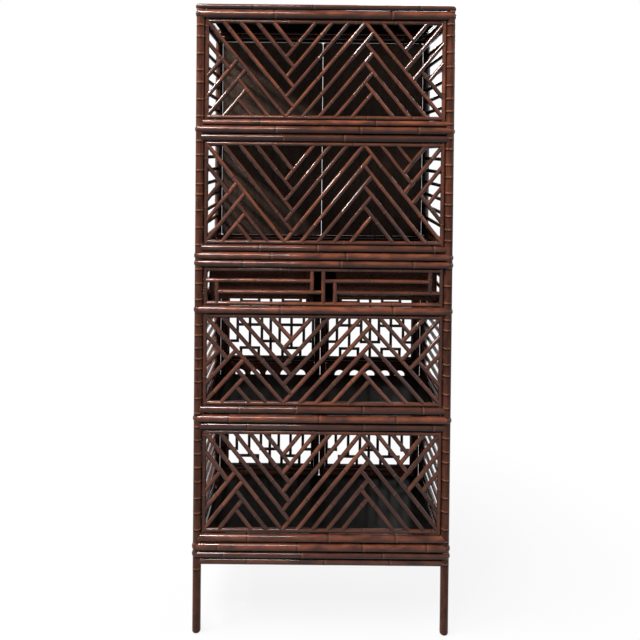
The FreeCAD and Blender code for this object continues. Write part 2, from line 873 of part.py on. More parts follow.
def pierced_board(name, width, centre):
    """Build the waist board of a lower door with a row of round-ended openings."""
    body = upright_plate(name, width, "pierced_height - 2 * fit", "pierced_thickness",
                         "front_corner", centre)
    outline = sketch_on(body, f"{name}_slot", "XZ_Plane")
    half = number("pierced_slot_width") / 2
    rise = number("pierced_slot_height") / 2 - half
    span = "(pierced_slots - 1) * pierced_slot_pitch"
    first = -number(span) / 2
    outline.addGeometry(Part.ArcOfCircle(
        Part.Circle(Vector(first, rise, 0), UP, half), 0, math.pi), False)
    outline.addGeometry(Part.LineSegment(
        Vector(first - half, rise, 0), Vector(first - half, -rise, 0)), False)
    outline.addGeometry(Part.ArcOfCircle(
        Part.Circle(Vector(first, -rise, 0), UP, half), math.pi, 2 * math.pi), False)
    outline.addGeometry(Part.LineSegment(
        Vector(first + half, -rise, 0), Vector(first + half, rise, 0)), False)
    for join in ((0, 2, 1, 1), (1, 2, 2, 1), (2, 2, 3, 1), (3, 2, 0, 1)):
        outline.addConstraint(Sketcher.Constraint("Tangent", *join))
    outline.addConstraint(Sketcher.Constraint("Vertical", 1))
    outline.addConstraint(Sketcher.Constraint("Symmetric", 0, 3, 2, 3, -1))
    sizes = (
        (Sketcher.Constraint("Radius", 0, half), "pierced_slot_width / 2"),
        (Sketcher.Constraint("DistanceY", 2, 3, 0, 3, 2 * rise),
         "pierced_slot_height - pierced_slot_width"),
        (Sketcher.Constraint("DistanceX", 0, 3, -1, 1, -first), f"{span} / 2"),
    )
    for constraint, size in sizes:
        index = outline.addConstraint(constraint)
        outline.setExpression(f"Constraints[{index}]", bound(size))
    pocket = body.newObject("PartDesign::Pocket", f"{name}_opening")
    pocket.Profile = outline
    pocket.Type = "ThroughAll"
    pocket.Midplane = True
    row = body.newObject("PartDesign::LinearPattern", f"{name}_row")
    row.Originals = [pocket]
    row.Direction = (outline, ["H_Axis"])
    row.setExpression("Occurrences", bound("pierced_slots"))
    row.setExpression("Length", bound(span))
    body.Tip = row
    return body


def build_lower_door(side, sign):
    """Build a lower door: two latticed bands with a pierced board between them."""
    door = f"lower_{side}_door"
    foot, head = DOOR_TIERS["lower"]
    build_door_frame(door, sign, foot, head)
    radius = number("band_frame_radius")
    edge = number("stile_radius + fit + band_frame_radius")
    left = min(sign * number(HINGE_X), sign * number(MEET_X)) + edge
    width = number(f"{HINGE_X} - {MEET_X}") - 2 * edge
    low = number(f"{foot} + 2 * door_rail_radius + fit")
    high = number(f"{head} - 2 * door_rail_radius - fit")
    band = (high - low - number("pierced_height")) / 2
    plan = Vector(left, number(DOOR_PLANE), 0)
    sill = number("band_sill_radius")
    stiles = [Cane(Vector(sign * number(x), plan.y, low), Vector(sign * number(x), plan.y, high),
                   number("stile_radius")) for x in (HINGE_X, MEET_X)]
    solids = []
    for bottom in (low, high - band):
        bar = Cane(stiles[0].start + UP * (bottom + sill - low),
                   stiles[1].start + UP * (bottom + sill - low), sill)
        solids.append(coped(bar, stiles))
        foot_of_band = bottom + 2 * sill + number("fit")
        frame = Frame(plan, Vector(1, 0, 0), width, foot_of_band, bottom + band, radius)
        solids += frame.solids() + door_fret(frame)
    publish(shaped(f"{door}_lattice", solids))
    publish(pierced_board(
        f"{door}_waist_board",
        f"{HINGE_X} - {MEET_X} - 2 * stile_radius - 2 * fit",
        (f"{sign} * ({HINGE_X} + {MEET_X}) / 2", DOOR_PLANE, f"({foot} + {head}) / 2"),
    ))


# Drawers
DRAWER_FLOOR = f"({LEVEL['drawer_wrap']} + drawer_wrap_radius + drawer_gap)"
FRONT_HEIGHT = f"({LEVEL['waist_wrap']} - waist_wrap_radius - drawer_gap - {DRAWER_FLOOR})"
FRONT_BACK = f"({DOOR_Y} - front_setback)"
BOX_FLOOR = f"({DRAWER_FLOOR} + drawer_lift)"


def build_drawer(side, sign):
    """Build a drawer: its front, the box behind it and its pull."""
    drawer = f"{side}_drawer"
    inner = "(stile_radius + door_gap)"
    outer = f"({POST_X} - post_radius - door_gap)"
    centre = f"{sign} * ({inner} + {outer}) / 2"
    face = f"({FRONT_BACK} + front_thickness)"
    middle = f"({DRAWER_FLOOR} + {FRONT_HEIGHT} / 2)"
    plate = upright_plate(f"{drawer}_plate", f"{outer} - {inner}", FRONT_HEIGHT,
                          "front_thickness", "front_corner",
                          (centre, f"{FRONT_BACK} + front_thickness / 2", middle))
    publish(cut(f"{drawer}_front", plate, shank_hole(drawer, centre, face, middle)))
    start = "drawer_start" if sign > 0 else "-drawer_start - drawer_width"
    back = f"{FRONT_BACK} - drawer_depth"
    walls = [
        board(f"{drawer}_{name}", ("drawer_wall", "drawer_depth", "drawer_height"),
              (x, back, BOX_FLOOR))
        for name, x in (("left_wall", start), ("right_wall", f"{start} + drawer_width - drawer_wall"))
    ]
    inside = "drawer_width - 2 * drawer_wall"
    base = board(f"{drawer}_base", (inside, "drawer_depth", "drawer_floor"),
                 (f"{start} + drawer_wall", back, BOX_FLOOR))
    rear = board(f"{drawer}_rear", (inside, "drawer_wall", "drawer_height - drawer_floor"),
                 (f"{start} + drawer_wall", back, f"{BOX_FLOOR} + drawer_floor"))
    publish(group(f"{drawer}_box", walls + [base, rear]))
    build_pull(drawer, centre, face, middle)


def build_drawer_bay():
    """Build the divider and partition between the drawers and the runners they slide on."""
    low = LEVEL["drawer_wrap"]
    clearance = group(
        "divider_clearance",
        [
            cane(f"divider_{member}_clear", f"{member}_radius + fit", "post_spacing_x",
                 (f"-{POST_X}", f"{DOOR_Y} + {wrap_setout(member)}", LEVEL[member]), "X")
            for member in ("drawer_wrap", "waist_wrap")
        ],
    )
    bar = cane("divider_bar", "stile_radius", f"{LEVEL['waist_wrap']} - {low}",
               ("0", DOOR_PLANE, low))
    publish(cut("drawer_divider", bar, clearance))
    inset = f"(drawer_wrap_radius - {wrap_setout('drawer_wrap')} + fit)"
    length = f"post_spacing_y - 2 * {inset}"
    begin = f"{LATTICE_Y} + {inset}"
    lip_inset = "(frame_radius + fit)"
    lip_length = f"post_spacing_y - {lip_inset} - {inset}"
    lip_begin = f"{LATTICE_Y} + {lip_inset}"
    deck = f"({BOX_FLOOR} - fit)"
    guide = "(runner_width - runner_bearing - guide_clearance)"
    middle = "(drawer_start - runner_width + runner_bearing - fit)"
    ceiling = f"({LEVEL['waist_wrap']} + bearer_radius - fit)"
    runners = [
        board("middle_runner", (f"2 * {middle}", length, "runner_height"),
              (f"-{middle}", begin, f"{deck} - runner_height")),
        board("drawer_partition", (f"2 * {middle}", "partition_thickness", f"{ceiling} - {deck}"),
              (f"-{middle}", f"{begin} + {length} - partition_thickness", deck)),
    ]
    for side, sign in SIDES:
        near = "drawer_start" if sign > 0 else "-drawer_start - drawer_width"
        edges = (
            ("low", f"{near} - (runner_width - runner_bearing)", "0"),
            ("high", f"{near} + drawer_width - runner_bearing", f"runner_width - {guide}"),
        )
        for end, x, guide_shift in edges:
            name = f"{side}_{end}_runner"
            bar = board(f"{name}_bar", ("runner_width", length, "runner_height"),
                        (x, begin, f"{deck} - runner_height"))
            lip = board(f"{name}_lip", (guide, lip_length, "guide_height"),
                        (f"{x} + {guide_shift}", lip_begin, deck))
            runners.append(fuse(name, [bar, lip]))
    publish(group("drawer_runners", runners))


def write_parts():
    """Check every object and write one file for each sub-part."""
    DOC.recompute()
    for item in DOC.Objects:
        if "Invalid" in item.State or "Error" in item.State:
            raise RuntimeError(f"{item.Label} failed to recompute")
    os.makedirs("parts", exist_ok=True)
    for item in PARTS:
        shape = item.Shape
        if shape.isNull() or not shape.isValid() or not shape.Solids:
            raise RuntimeError(f"{item.Label} has no valid solid")
        shape.exportStep(f"parts/{item.Label}.step")
    print(f"{len(PARTS)} sub-parts written")


def build():
    """Build the whole cabinet."""
    fill_sheet()
    posts = post_points()
    build_posts(build_panels(posts))
    build_wraps(posts)
    build_stretchers()
    build_boards()
    build_drawer_bay()
    for side, sign in SIDES:
        build_upper_door(side, sign)
        build_lower_door(side, sign)
        build_drawer(side, sign)
    write_parts()


build()
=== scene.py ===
"""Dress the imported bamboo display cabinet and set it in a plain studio.

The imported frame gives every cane, board and pull its place. Each sub-assembly below reads the canes
or boards of its own nodes, models them again with their joints, swellings and eased edges, and
stands in for those nodes on the same bodies. Lengths are metres.
"""
import json
import logging
import math
import random
from dataclasses import dataclass, field, replace
from enum import Enum
from functools import cache
from typing import Any, ClassVar, Iterable, Iterator, Sequence

import bmesh
import bpy
import numpy as np
from mathutils import Matrix, Vector

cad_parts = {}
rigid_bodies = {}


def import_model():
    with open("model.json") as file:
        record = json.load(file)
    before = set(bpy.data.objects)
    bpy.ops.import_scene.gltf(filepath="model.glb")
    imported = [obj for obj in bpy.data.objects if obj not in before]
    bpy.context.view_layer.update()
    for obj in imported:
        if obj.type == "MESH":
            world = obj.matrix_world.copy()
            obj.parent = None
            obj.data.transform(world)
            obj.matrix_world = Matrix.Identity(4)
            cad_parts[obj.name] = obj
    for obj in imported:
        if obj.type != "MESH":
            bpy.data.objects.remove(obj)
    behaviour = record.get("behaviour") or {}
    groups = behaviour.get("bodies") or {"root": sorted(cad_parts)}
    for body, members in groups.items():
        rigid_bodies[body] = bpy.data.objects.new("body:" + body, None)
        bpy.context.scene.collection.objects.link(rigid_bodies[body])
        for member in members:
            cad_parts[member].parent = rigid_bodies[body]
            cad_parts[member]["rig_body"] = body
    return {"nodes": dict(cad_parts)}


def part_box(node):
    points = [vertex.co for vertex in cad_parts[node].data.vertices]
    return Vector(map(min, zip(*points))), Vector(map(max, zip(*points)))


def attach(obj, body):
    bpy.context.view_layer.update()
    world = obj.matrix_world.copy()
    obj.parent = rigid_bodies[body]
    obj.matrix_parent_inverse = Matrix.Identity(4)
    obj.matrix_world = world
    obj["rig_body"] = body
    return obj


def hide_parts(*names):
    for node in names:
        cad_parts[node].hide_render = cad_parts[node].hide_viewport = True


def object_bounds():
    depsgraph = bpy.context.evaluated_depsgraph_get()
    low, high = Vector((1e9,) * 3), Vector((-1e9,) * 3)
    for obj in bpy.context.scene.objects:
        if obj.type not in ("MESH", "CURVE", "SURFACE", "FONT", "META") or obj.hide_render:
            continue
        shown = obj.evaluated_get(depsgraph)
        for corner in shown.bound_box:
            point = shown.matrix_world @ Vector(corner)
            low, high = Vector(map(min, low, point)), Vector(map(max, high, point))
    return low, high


FRAME: dict[str, Any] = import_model()
CAD_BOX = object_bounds()

LOG = logging.getLogger("cabinet")
PLACE = "cane_place"
MARKS = "cane_marks"
EDGE = "board_edge"
WELD = 2e-6
# Largest share of a wall's normal that may point along its cane
WALL_LEAN = 0.02
# Share of the radius past which a cane's end counts as fully round
FULL_ROUND = 0.97
# Farthest, in metres along each axis, that a cane's stain is read from its own place
STAIN_SPREAD = 3.0
Colour = tuple[float, float, float, float]


class Slot(Enum):
    """The record's material slots."""

    POST = "bamboo_post"
    RAIL = "bamboo_rail"
    LATTICE = "bamboo_lattice"
    BOARD = "lacquer_board"
    PULL = "brass_pull"


class Ends(Enum):
    """How the two ends of a cane are finished."""

    BURIED = "cut square inside the cane it meets"
    FOOT = "rounded over at the lower end"
    BOTH = "rounded over at both ends"


def tint(red: int, green: int, blue: int) -> Colour:
    """Turn a colour as seen on screen into the shader's linear values.

    Args:
        red: Red from 0 to 255.
        green: Green from 0 to 255.
        blue: Blue from 0 to 255.

    Returns:
        The linear colour with full alpha.
    """
    def linear(level: int) -> float:
        """Undo the screen's curve for one channel."""
        share = level / 255
        return share / 12.92 if share <= 0.04045 else ((share + 0.055) / 1.055) ** 2.4

    return linear(red), linear(green), linear(blue), 1.0


class NodeBench:
    """Adds and joins shader nodes in one tree."""

    def __init__(self, tree: bpy.types.NodeTree) -> None:
        """Keep the tree to work on."""
        self.tree = tree

    def feed(self, socket: bpy.types.NodeSocket, value: Any) -> None:
        """Link another socket into this one, or set a plain value on it.

        Args:
            socket: The input to fill.
            value: A socket to link from, or the value itself.
        """
        if isinstance(value, bpy.types.NodeSocket):
            self.tree.links.new(value, socket)
        else:
            socket.default_value = value

    def fill(self, node: bpy.types.Node, inputs: dict[Any, Any]) -> None:
        """Link or set several inputs of one node, by name or index."""
        for key, value in inputs.items():
            self.feed(node.inputs[key], value)

    def node(self, kind: str, inputs: dict[Any, Any] | None = None, **settings: Any) -> bpy.types.Node:
        """Add one node.

        Args:
            kind: The node's type name.
            inputs: Values or sockets for its inputs, by name or index.
            **settings: Properties to set first.

        Returns:
            The new node.
        """
        made = self.tree.nodes.new(kind)
        for key, value in settings.items():
            setattr(made, key, value)
        self.fill(made, inputs or {})
        return made

    def mix(self, factor: Any, first: Any, second: Any, blend: str = "MIX") -> bpy.types.NodeSocket:
        """Mix two colours.

        Args:
            factor: Share of the second colour.
            first: The first colour.
            second: The second colour.
            blend: How they are mixed.

        Returns:
            The mixed colour.
        """
        made = self.node("ShaderNodeMix", {0: factor, 6: first, 7: second},
                         data_type="RGBA", blend_type=blend)
        return made.outputs[2]

    def sum(self, operation: str, first: Any, second: Any) -> bpy.types.NodeSocket:
        """Combine two values with one arithmetic step, kept between 0 and 1.

        Args:
            operation: The arithmetic step.
            first: The first value.
            second: The second value.

        Returns:
            The result.
        """
        made = self.node("ShaderNodeMath", {0: first, 1: second}, operation=operation, use_clamp=True)
        return made.outputs[0]

    def span(self, value: Any, source: tuple[float, float],
             target: tuple[float, float] = (0.0, 1.0)) -> bpy.types.NodeSocket:
        """Stretch one range of a value over another.

        Args:
            value: The value to stretch.
            source: Where it starts and ends.
            target: What these become.

        Returns:
            The stretched value, kept inside the target range.
        """
        made = self.node("ShaderNodeMapRange", {
            "Value": value, "From Min": source[0], "From Max": source[1],
            "To Min": target[0], "To Max": target[1]}, clamp=True)
        return made.outputs["Result"]

    def stretched(self, vector: Any, scale: tuple[float, float, float]) -> bpy.types.NodeSocket:
        """Scale a place by its own factor along each axis."""
        made = self.node("ShaderNodeVectorMath", {0: vector, 1: scale}, operation="MULTIPLY")
        return made.outputs[0]

    def noise(self, vector: Any, scale: float, detail: float = 2.0,
              roughness: float = 0.5) -> bpy.types.NodeSocket:
        """Add a noise texture.

        Args:
            vector: Where it is read.
            scale: How fine it is, in repeats over a metre.
            detail: How many finer layers it has.
            roughness: How strong those layers are.

        Returns:
            A value from 0 to 1 that varies over the surface.
        """
        made = self.node("ShaderNodeTexNoise", {
            "Vector": vector, "Scale": scale, "Detail": detail, "Roughness": roughness})
        return made.outputs["Fac"]

    def attribute(self, name: str, output: str) -> bpy.types.NodeSocket:
        """Read one of the mesh's own attributes."""
        return self.node("ShaderNodeAttribute", attribute_name=name).outputs[output]

    def effect(self, tree: bpy.types.NodeTree, **inputs: Any) -> bpy.types.Node:
        """Place a shared effect in this tree.

        Args:
            tree: The effect's node group.
            **inputs: Values or sockets for its named inputs.

        Returns:
            The group node.
        """
        made = self.node("ShaderNodeGroup", node_tree=tree)
        self.fill(made, inputs)
        return made

    def bump(self, height: Any, strength: float, distance: float) -> bpy.types.NodeSocket:
        """Turn a height into a bumped normal."""
        made = self.node("ShaderNodeBump", {"Strength": strength, "Distance": distance, "Height": height})
        return made.outputs["Normal"]

    def sees_backdrop(self) -> bpy.types.NodeSocket:
        """Mark the rays that see the white backdrop: the camera's, and those in gloss or glass.

        Returns:
            1 for such a ray, 0 for the light that falls on things.
        """
        rays = self.node("ShaderNodeLightPath").outputs
        return self.sum("ADD", rays["Is Camera Ray"], self.sum(
            "ADD", rays["Is Glossy Ray"], rays["Is Transmission Ray"]))


class Effects:
    """The effects that more than one finish uses, each built once as a node group."""

    @classmethod
    def _start(cls, name: str, inputs: dict[str, str],
               outputs: Sequence[str]) -> tuple[NodeBench, bpy.types.Node, bpy.types.Node]:
        """Start a node group with its sockets.

        Args:
            name: The group's name.
            inputs: Socket kind of each named input.
            outputs: Names of its values.

        Returns:
            The bench to build on, the group's input node and its output node.
        """
        tree = bpy.data.node_groups.new(name, "ShaderNodeTree")
        for label, kind in inputs.items():
            tree.interface.new_socket(name=label, in_out="INPUT", socket_type=kind)
        for label in outputs:
            tree.interface.new_socket(name=label, in_out="OUTPUT", socket_type="NodeSocketFloat")
        bench = NodeBench(tree)
        return bench, bench.node("NodeGroupInput"), bench.node("NodeGroupOutput")

    @classmethod
    @cache
    def fibre(cls) -> bpy.types.NodeTree:
        """Long fine fibres along a cane, with broader clouds of stain.

        Returns:
            The group, from Place to Streak, Cloud and Height.
        """
        bench, given, result = cls._start(
            "cane_fibre", {"Place": "NodeSocketVector"}, ("Streak", "Cloud", "Height"))
        fine, broad, cloud = (
            bench.noise(bench.stretched(given.outputs["Place"], (1.0, 1.0, along)), scale, detail, roughness)
            for along, scale, detail, roughness in (
                (0.03, 1500.0, 3.0, 0.6), (0.05, 330.0, 2.0, 0.5), (0.35, 55.0, 3.0, 0.55)))
        mixed = bench.sum("MULTIPLY", bench.sum("ADD", fine, broad), 0.5)
        bench.fill(result, {"Streak": bench.span(mixed, (0.3, 0.7)),
                            "Cloud": bench.span(cloud, (0.33, 0.68)), "Height": mixed})
        return bench.tree

    @classmethod
    @cache
    def rubbed(cls) -> bpy.types.NodeTree:
        """Lacquer rubbed thin in patches along edges and ring crests.

        Returns:
            The group, from Edge, Place and Amount to Mask.
        """
        bench, given, result = cls._start("rubbed_edges", {
            "Edge": "NodeSocketFloat", "Place": "NodeSocketVector",
            "Amount": "NodeSocketFloat"}, ("Mask",))
        patches = bench.noise(given.outputs["Place"], scale=170.0, detail=3.0, roughness=0.6)
        broken = bench.span(patches, (0.3, 0.55))
        worn = bench.sum("MULTIPLY", given.outputs["Edge"], broken)
        bench.feed(result.inputs["Mask"], bench.sum("MULTIPLY", worn, given.outputs["Amount"]))
        return bench.tree

    @classmethod
    def _dust_and_painted_shade(cls, name: str, facing: tuple[float, float], patches: dict[str, float],
                 spread: tuple[float, float], least: float) -> bpy.types.NodeTree:
        """A patchy mask on what faces up or down, used for settled dust and for painted shade on undersides.

        Args:
            name: The group's name.
            facing: The upward part of the normal where it starts and where it is full.
            patches: Scale, detail and roughness of the noise that breaks it up.
            spread: Where that noise starts and ends.
            least: How much is left in the thinnest patches.

        Returns:
            The group, from Place and Amount to Mask.
        """
        bench, given, result = cls._start(name, {
            "Place": "NodeSocketVector", "Amount": "NodeSocketFloat"}, ("Mask",))
        normal = bench.node("ShaderNodeNewGeometry").outputs["Normal"]
        upward = bench.node("ShaderNodeSeparateXYZ", {0: normal}).outputs["Z"]
        uneven = bench.span(bench.noise(given.outputs["Place"], **patches), spread, (least, 1.0))
        settled = bench.sum("MULTIPLY", bench.span(upward, facing), uneven)
        bench.feed(result.inputs["Mask"], bench.sum("MULTIPLY", settled, given.outputs["Amount"]))
        return bench.tree

    @classmethod
    @cache
    def dust(cls) -> bpy.types.NodeTree:
        """Give thin dust that settles on what faces up."""
        return cls._dust_and_painted_shade("settled_dust", facing=(0.55, 1.0), spread=(0.35, 0.75), least=0.0,
                            patches={"scale": 90.0, "detail": 4.0, "roughness": 0.65})

    @classmethod
    @cache
    def underside(cls) -> bpy.types.NodeTree:
        """Give painted shade that darkens what faces down, a little uneven in patches."""
        return cls._dust_and_painted_shade("underside_painted_shade", facing=(0.2, -0.6), spread=(0.3, 0.7), least=0.75,
                            patches={"scale": 60.0, "detail": 3.0, "roughness": 0.6})

    @classmethod
    @cache
    def grain(cls) -> bpy.types.NodeTree:
        """Straight board grain under lacquer, with clouds in the lacquer.

        Returns:
            The group, from Place to Grain, Cloud and Height.
        """
        bench, given, result = cls._start(
            "board_grain", {"Place": "NodeSocketVector"}, ("Grain", "Cloud", "Height"))
        place = given.outputs["Place"]
        lines = bench.noise(bench.stretched(place, (1.0, 1.0, 0.08)), scale=90.0, detail=4.0, roughness=0.6)
        pores = bench.noise(bench.stretched(place, (1.0, 1.0, 0.35)), scale=330.0, detail=3.0, roughness=0.6)
        cloud = bench.noise(place, scale=9.0, detail=4.0, roughness=0.6)
        speckled = bench.sum("ADD", bench.sum("MULTIPLY", lines, 0.3), bench.sum("MULTIPLY", pores, 0.7))
        bench.fill(result, {
            "Grain": bench.span(speckled, (0.36, 0.64)), "Cloud": bench.span(cloud, (0.35, 0.68)),
            "Height": bench.sum("MULTIPLY", bench.sum("ADD", lines, pores), 0.5)})
        return bench.tree


def start_material(name: str) -> tuple[bpy.types.Material, NodeBench, bpy.types.Node]:
    """Start a material from one Principled shader.

    Args:
        name: The material's name.

    Returns:
        The material, its bench and the shader node.
    """
    made = bpy.data.materials.new(name)
    made.use_nodes = True
    shader = next(node for node in made.node_tree.nodes if node.type == "BSDF_PRINCIPLED")
    return made, NodeBench(made.node_tree), shader


@dataclass(frozen=True)
class Finish:
    """What every finish has: its name and the record's slot."""

    name: str
    slot: Slot

    def material(self) -> bpy.types.Material:
        """Give this finish's material, building it once.

        Returns:
            The material.
        """
        found = bpy.data.materials.get(self.name)
        if found:
            return found
        made, bench, shader = start_material(self.name)
        self.dress(bench, shader)
        return made

    def dress(self, bench: NodeBench, shader: bpy.types.Node) -> None:
        """Build the finish on a new material's shader."""
        raise NotImplementedError


@dataclass(frozen=True)
class CaneFinish(Finish):
    """Dark lacquer over stained bamboo, with shaded joints, rubbed crests and painted shade on undersides.
    """

    deep: Colour
    body: Colour
    warm: Colour
    # Dark colour of the joints, also used for the painted shade on undersides
    joint_and_shade: Colour
    worn: Colour
    roughness: tuple[float, float]
    coat: float
    ringed: float
    rubbed: float
    dust: float = 0.02
    # Amount of painted shade on what faces down
    painted_shade: float = 1.0
    coat_roughness: float = 0.06
    specular: float = 0.06
    DUST: ClassVar[Colour] = tint(150, 138, 124)
    TONE_WARMTH: ClassVar[tuple[float, float]] = (0.25, 0.9)
    TONE_SHADE: ClassVar[tuple[float, float]] = (0.68, 1.0)
    RUBBED_DULLS: ClassVar[float] = 0.2
    DUST_DULLS: ClassVar[float] = 0.3

    def dress(self, bench: NodeBench, shader: bpy.types.Node) -> None:
        """Build the stain, the joints, the painted shade on undersides, the wear and the gloss.

        Args:
            bench: The material's bench.
            shader: Its shader.
        """
        place = bench.attribute(PLACE, "Vector")
        marks = bench.node("ShaderNodeSeparateColor", {0: bench.attribute(MARKS, "Color")})
        tone, ring, crest = marks.outputs[0], marks.outputs[1], marks.outputs[2]
        fibre = bench.effect(Effects.fibre(), Place=place).outputs
        rubbed = bench.effect(Effects.rubbed(), Edge=crest, Place=place, Amount=self.rubbed).outputs["Mask"]
        dust = bench.effect(Effects.dust(), Place=place, Amount=self.dust).outputs["Mask"]
        # Mask of painted shade on what faces down
        painted_shade = bench.effect(Effects.underside(), Place=place, Amount=self.painted_shade).outputs["Mask"]
        stained = bench.mix(fibre["Streak"], self.deep, self.body)
        warmth = bench.sum("MULTIPLY", fibre["Cloud"], bench.span(tone, (0.0, 1.0), self.TONE_WARMTH))
        stained = bench.mix(warmth, stained, self.warm)
        shaded = bench.mix(1.0, stained, bench.span(tone, (0.0, 1.0), self.TONE_SHADE), "MULTIPLY")
        # Painted shade: what faces down is darkened towards the joint colour
        shaded = bench.mix(painted_shade, shaded, self.joint_and_shade)
        shaded = bench.mix(bench.sum("MULTIPLY", ring, self.ringed), shaded, self.joint_and_shade)
        shaded = bench.mix(rubbed, shaded, self.worn)
        gloss = bench.span(fibre["Cloud"], (0.0, 1.0), self.roughness)
        dulled = bench.sum("ADD", gloss, bench.sum("MULTIPLY", rubbed, self.RUBBED_DULLS))
        bench.fill(shader, {
            "Base Color": bench.mix(dust, shaded, self.DUST),
            "Roughness": bench.sum("ADD", dulled, bench.sum("MULTIPLY", dust, self.DUST_DULLS)),
            "Normal": bench.bump(fibre["Height"], strength=0.12, distance=0.0004),
            "Coat Weight": self.coat, "Coat Roughness": self.coat_roughness,
            "Specular IOR Level": self.specular})


@dataclass(frozen=True)
class BoardFinish(Finish):
    """Lacquer over plain boards, with grain and rubbed edges."""

    deep: Colour
    body: Colour
    worn: Colour
    along: tuple[float, float, float]
    roughness: tuple[float, float]
    rubbed: float
    coat: float = 0.05
    dust: float = 0.02
    coat_roughness: float = 0.2
    specular: float = 0.0
    DUST: ClassVar[Colour] = tint(142, 132, 120)
    CLOUD_SHADE: ClassVar[tuple[float, float]] = (0.72, 1.0)
    DUST_DULLS: ClassVar[float] = 0.35

    def dress(self, bench: NodeBench, shader: bpy.types.Node) -> None:
        """Build the grain, the wear and the low gloss.

        Args:
            bench: The material's bench.
            shader: Its shader.
        """
        object_place = bench.node("ShaderNodeTexCoord").outputs["Object"]
        turned = bench.node("ShaderNodeMapping", {"Vector": object_place, "Rotation": self.along})
        place = turned.outputs["Vector"]
        grain = bench.effect(Effects.grain(), Place=place).outputs
        rubbed = bench.effect(Effects.rubbed(), Edge=bench.attribute(EDGE, "Fac"), Place=place,
                              Amount=self.rubbed).outputs["Mask"]
        dust = bench.effect(Effects.dust(), Place=object_place, Amount=self.dust).outputs["Mask"]
        coloured = bench.mix(grain["Grain"], self.deep, self.body)
        clouds = bench.span(grain["Cloud"], (0.0, 1.0), self.CLOUD_SHADE)
        coloured = bench.mix(1.0, coloured, clouds, "MULTIPLY")
        coloured = bench.mix(rubbed, coloured, self.worn)
        gloss = bench.span(grain["Cloud"], (0.0, 1.0), self.roughness)
        bench.fill(shader, {
            "Base Color": bench.mix(dust, coloured, self.DUST),
            "Roughness": bench.sum("ADD", gloss, bench.sum("MULTIPLY", dust, self.DUST_DULLS)),
            "Normal": bench.bump(grain["Height"], strength=0.18, distance=0.0005),
            "Coat Weight": self.coat, "Coat Roughness": self.coat_roughness,
            "Specular IOR Level": self.specular})


@dataclass(frozen=True)
class BrassFinish(Finish):
    """Old brass, bright where it is handled and brown where it isn't."""

    bright: Colour
    tarnish: Colour
    roughness: tuple[float, float]

    def dress(self, bench: NodeBench, shader: bpy.types.Node) -> None:
        """Build the tarnish, the dents and the metal.

        Args:
            bench: The material's bench.
            shader: Its shader.
        """
        place = bench.node("ShaderNodeTexCoord").outputs["Object"]
        patches = bench.span(bench.noise(place, scale=420.0, detail=4.0, roughness=0.6), (0.38, 0.66))
        dents = bench.noise(place, scale=1300.0, detail=3.0, roughness=0.55)
        bench.fill(shader, {
            "Base Color": bench.mix(patches, self.bright, self.tarnish),
            "Roughness": bench.span(patches, (0.0, 1.0), self.roughness),
            "Normal": bench.bump(dents, strength=0.25, distance=0.0002), "Metallic": 1.0})


POST_LACQUER = CaneFinish(
    "post_lacquer", Slot.POST, deep=tint(34, 15, 10), body=tint(73, 39, 27), warm=tint(107, 60, 41),
    joint_and_shade=tint(8, 3, 2), worn=tint(146, 94, 68), roughness=(0.18, 0.32), coat=0.12, ringed=0.9, rubbed=0.6)
RAIL_LACQUER = CaneFinish(
    "rail_lacquer", Slot.RAIL, deep=tint(30, 12, 8), body=tint(76, 38, 24), warm=tint(110, 57, 36),
    joint_and_shade=tint(8, 3, 2), worn=tint(142, 88, 60), roughness=(0.1, 0.22), coat=0.45, ringed=0.7, rubbed=0.3)
DOOR_LACQUER = CaneFinish(
    "door_lacquer", Slot.RAIL, deep=tint(34, 15, 11), body=tint(74, 37, 25), warm=tint(106, 56, 37),
    joint_and_shade=tint(10, 4, 3), worn=tint(142, 88, 60), roughness=(0.3, 0.42), coat=0.05, ringed=0.8, rubbed=0.4)
LATTICE_LACQUER = CaneFinish(
    "lattice_lacquer", Slot.LATTICE, deep=tint(32, 14, 10), body=tint(76, 38, 25), warm=tint(108, 58, 37),
    joint_and_shade=tint(12, 5, 4), worn=tint(138, 88, 63), roughness=(0.1, 0.22), coat=0.45, ringed=0.6, rubbed=0.3)
GRAIN_UPRIGHT = (0.0, 0.0, 0.0)
GRAIN_LEVEL = (0.0, math.pi / 2, 0.0)
UPRIGHT_BOARD = BoardFinish(
    "upright_board_lacquer", Slot.BOARD, deep=tint(58, 47, 42), body=tint(110, 91, 80),
    worn=tint(104, 78, 56), along=GRAIN_UPRIGHT, roughness=(0.46, 0.62), rubbed=0.5)
FLAT_BOARD = BoardFinish(
    "flat_board_lacquer", Slot.BOARD, deep=tint(11, 9, 8), body=tint(24, 20, 18),
    worn=tint(66, 45, 33), along=GRAIN_LEVEL, roughness=(0.46, 0.62), rubbed=0.5)
DRAWER_BOARD = BoardFinish(
    "drawer_board_lacquer", Slot.BOARD, deep=tint(45, 26, 21), body=tint(90, 56, 47),
    worn=tint(104, 70, 50), along=GRAIN_LEVEL, roughness=(0.42, 0.58), rubbed=0.6)
OLD_BRASS = BrassFinish(
    "old_brass", Slot.PULL, bright=tint(186, 148, 84), tarnish=tint(92, 66, 34), roughness=(0.24, 0.5))


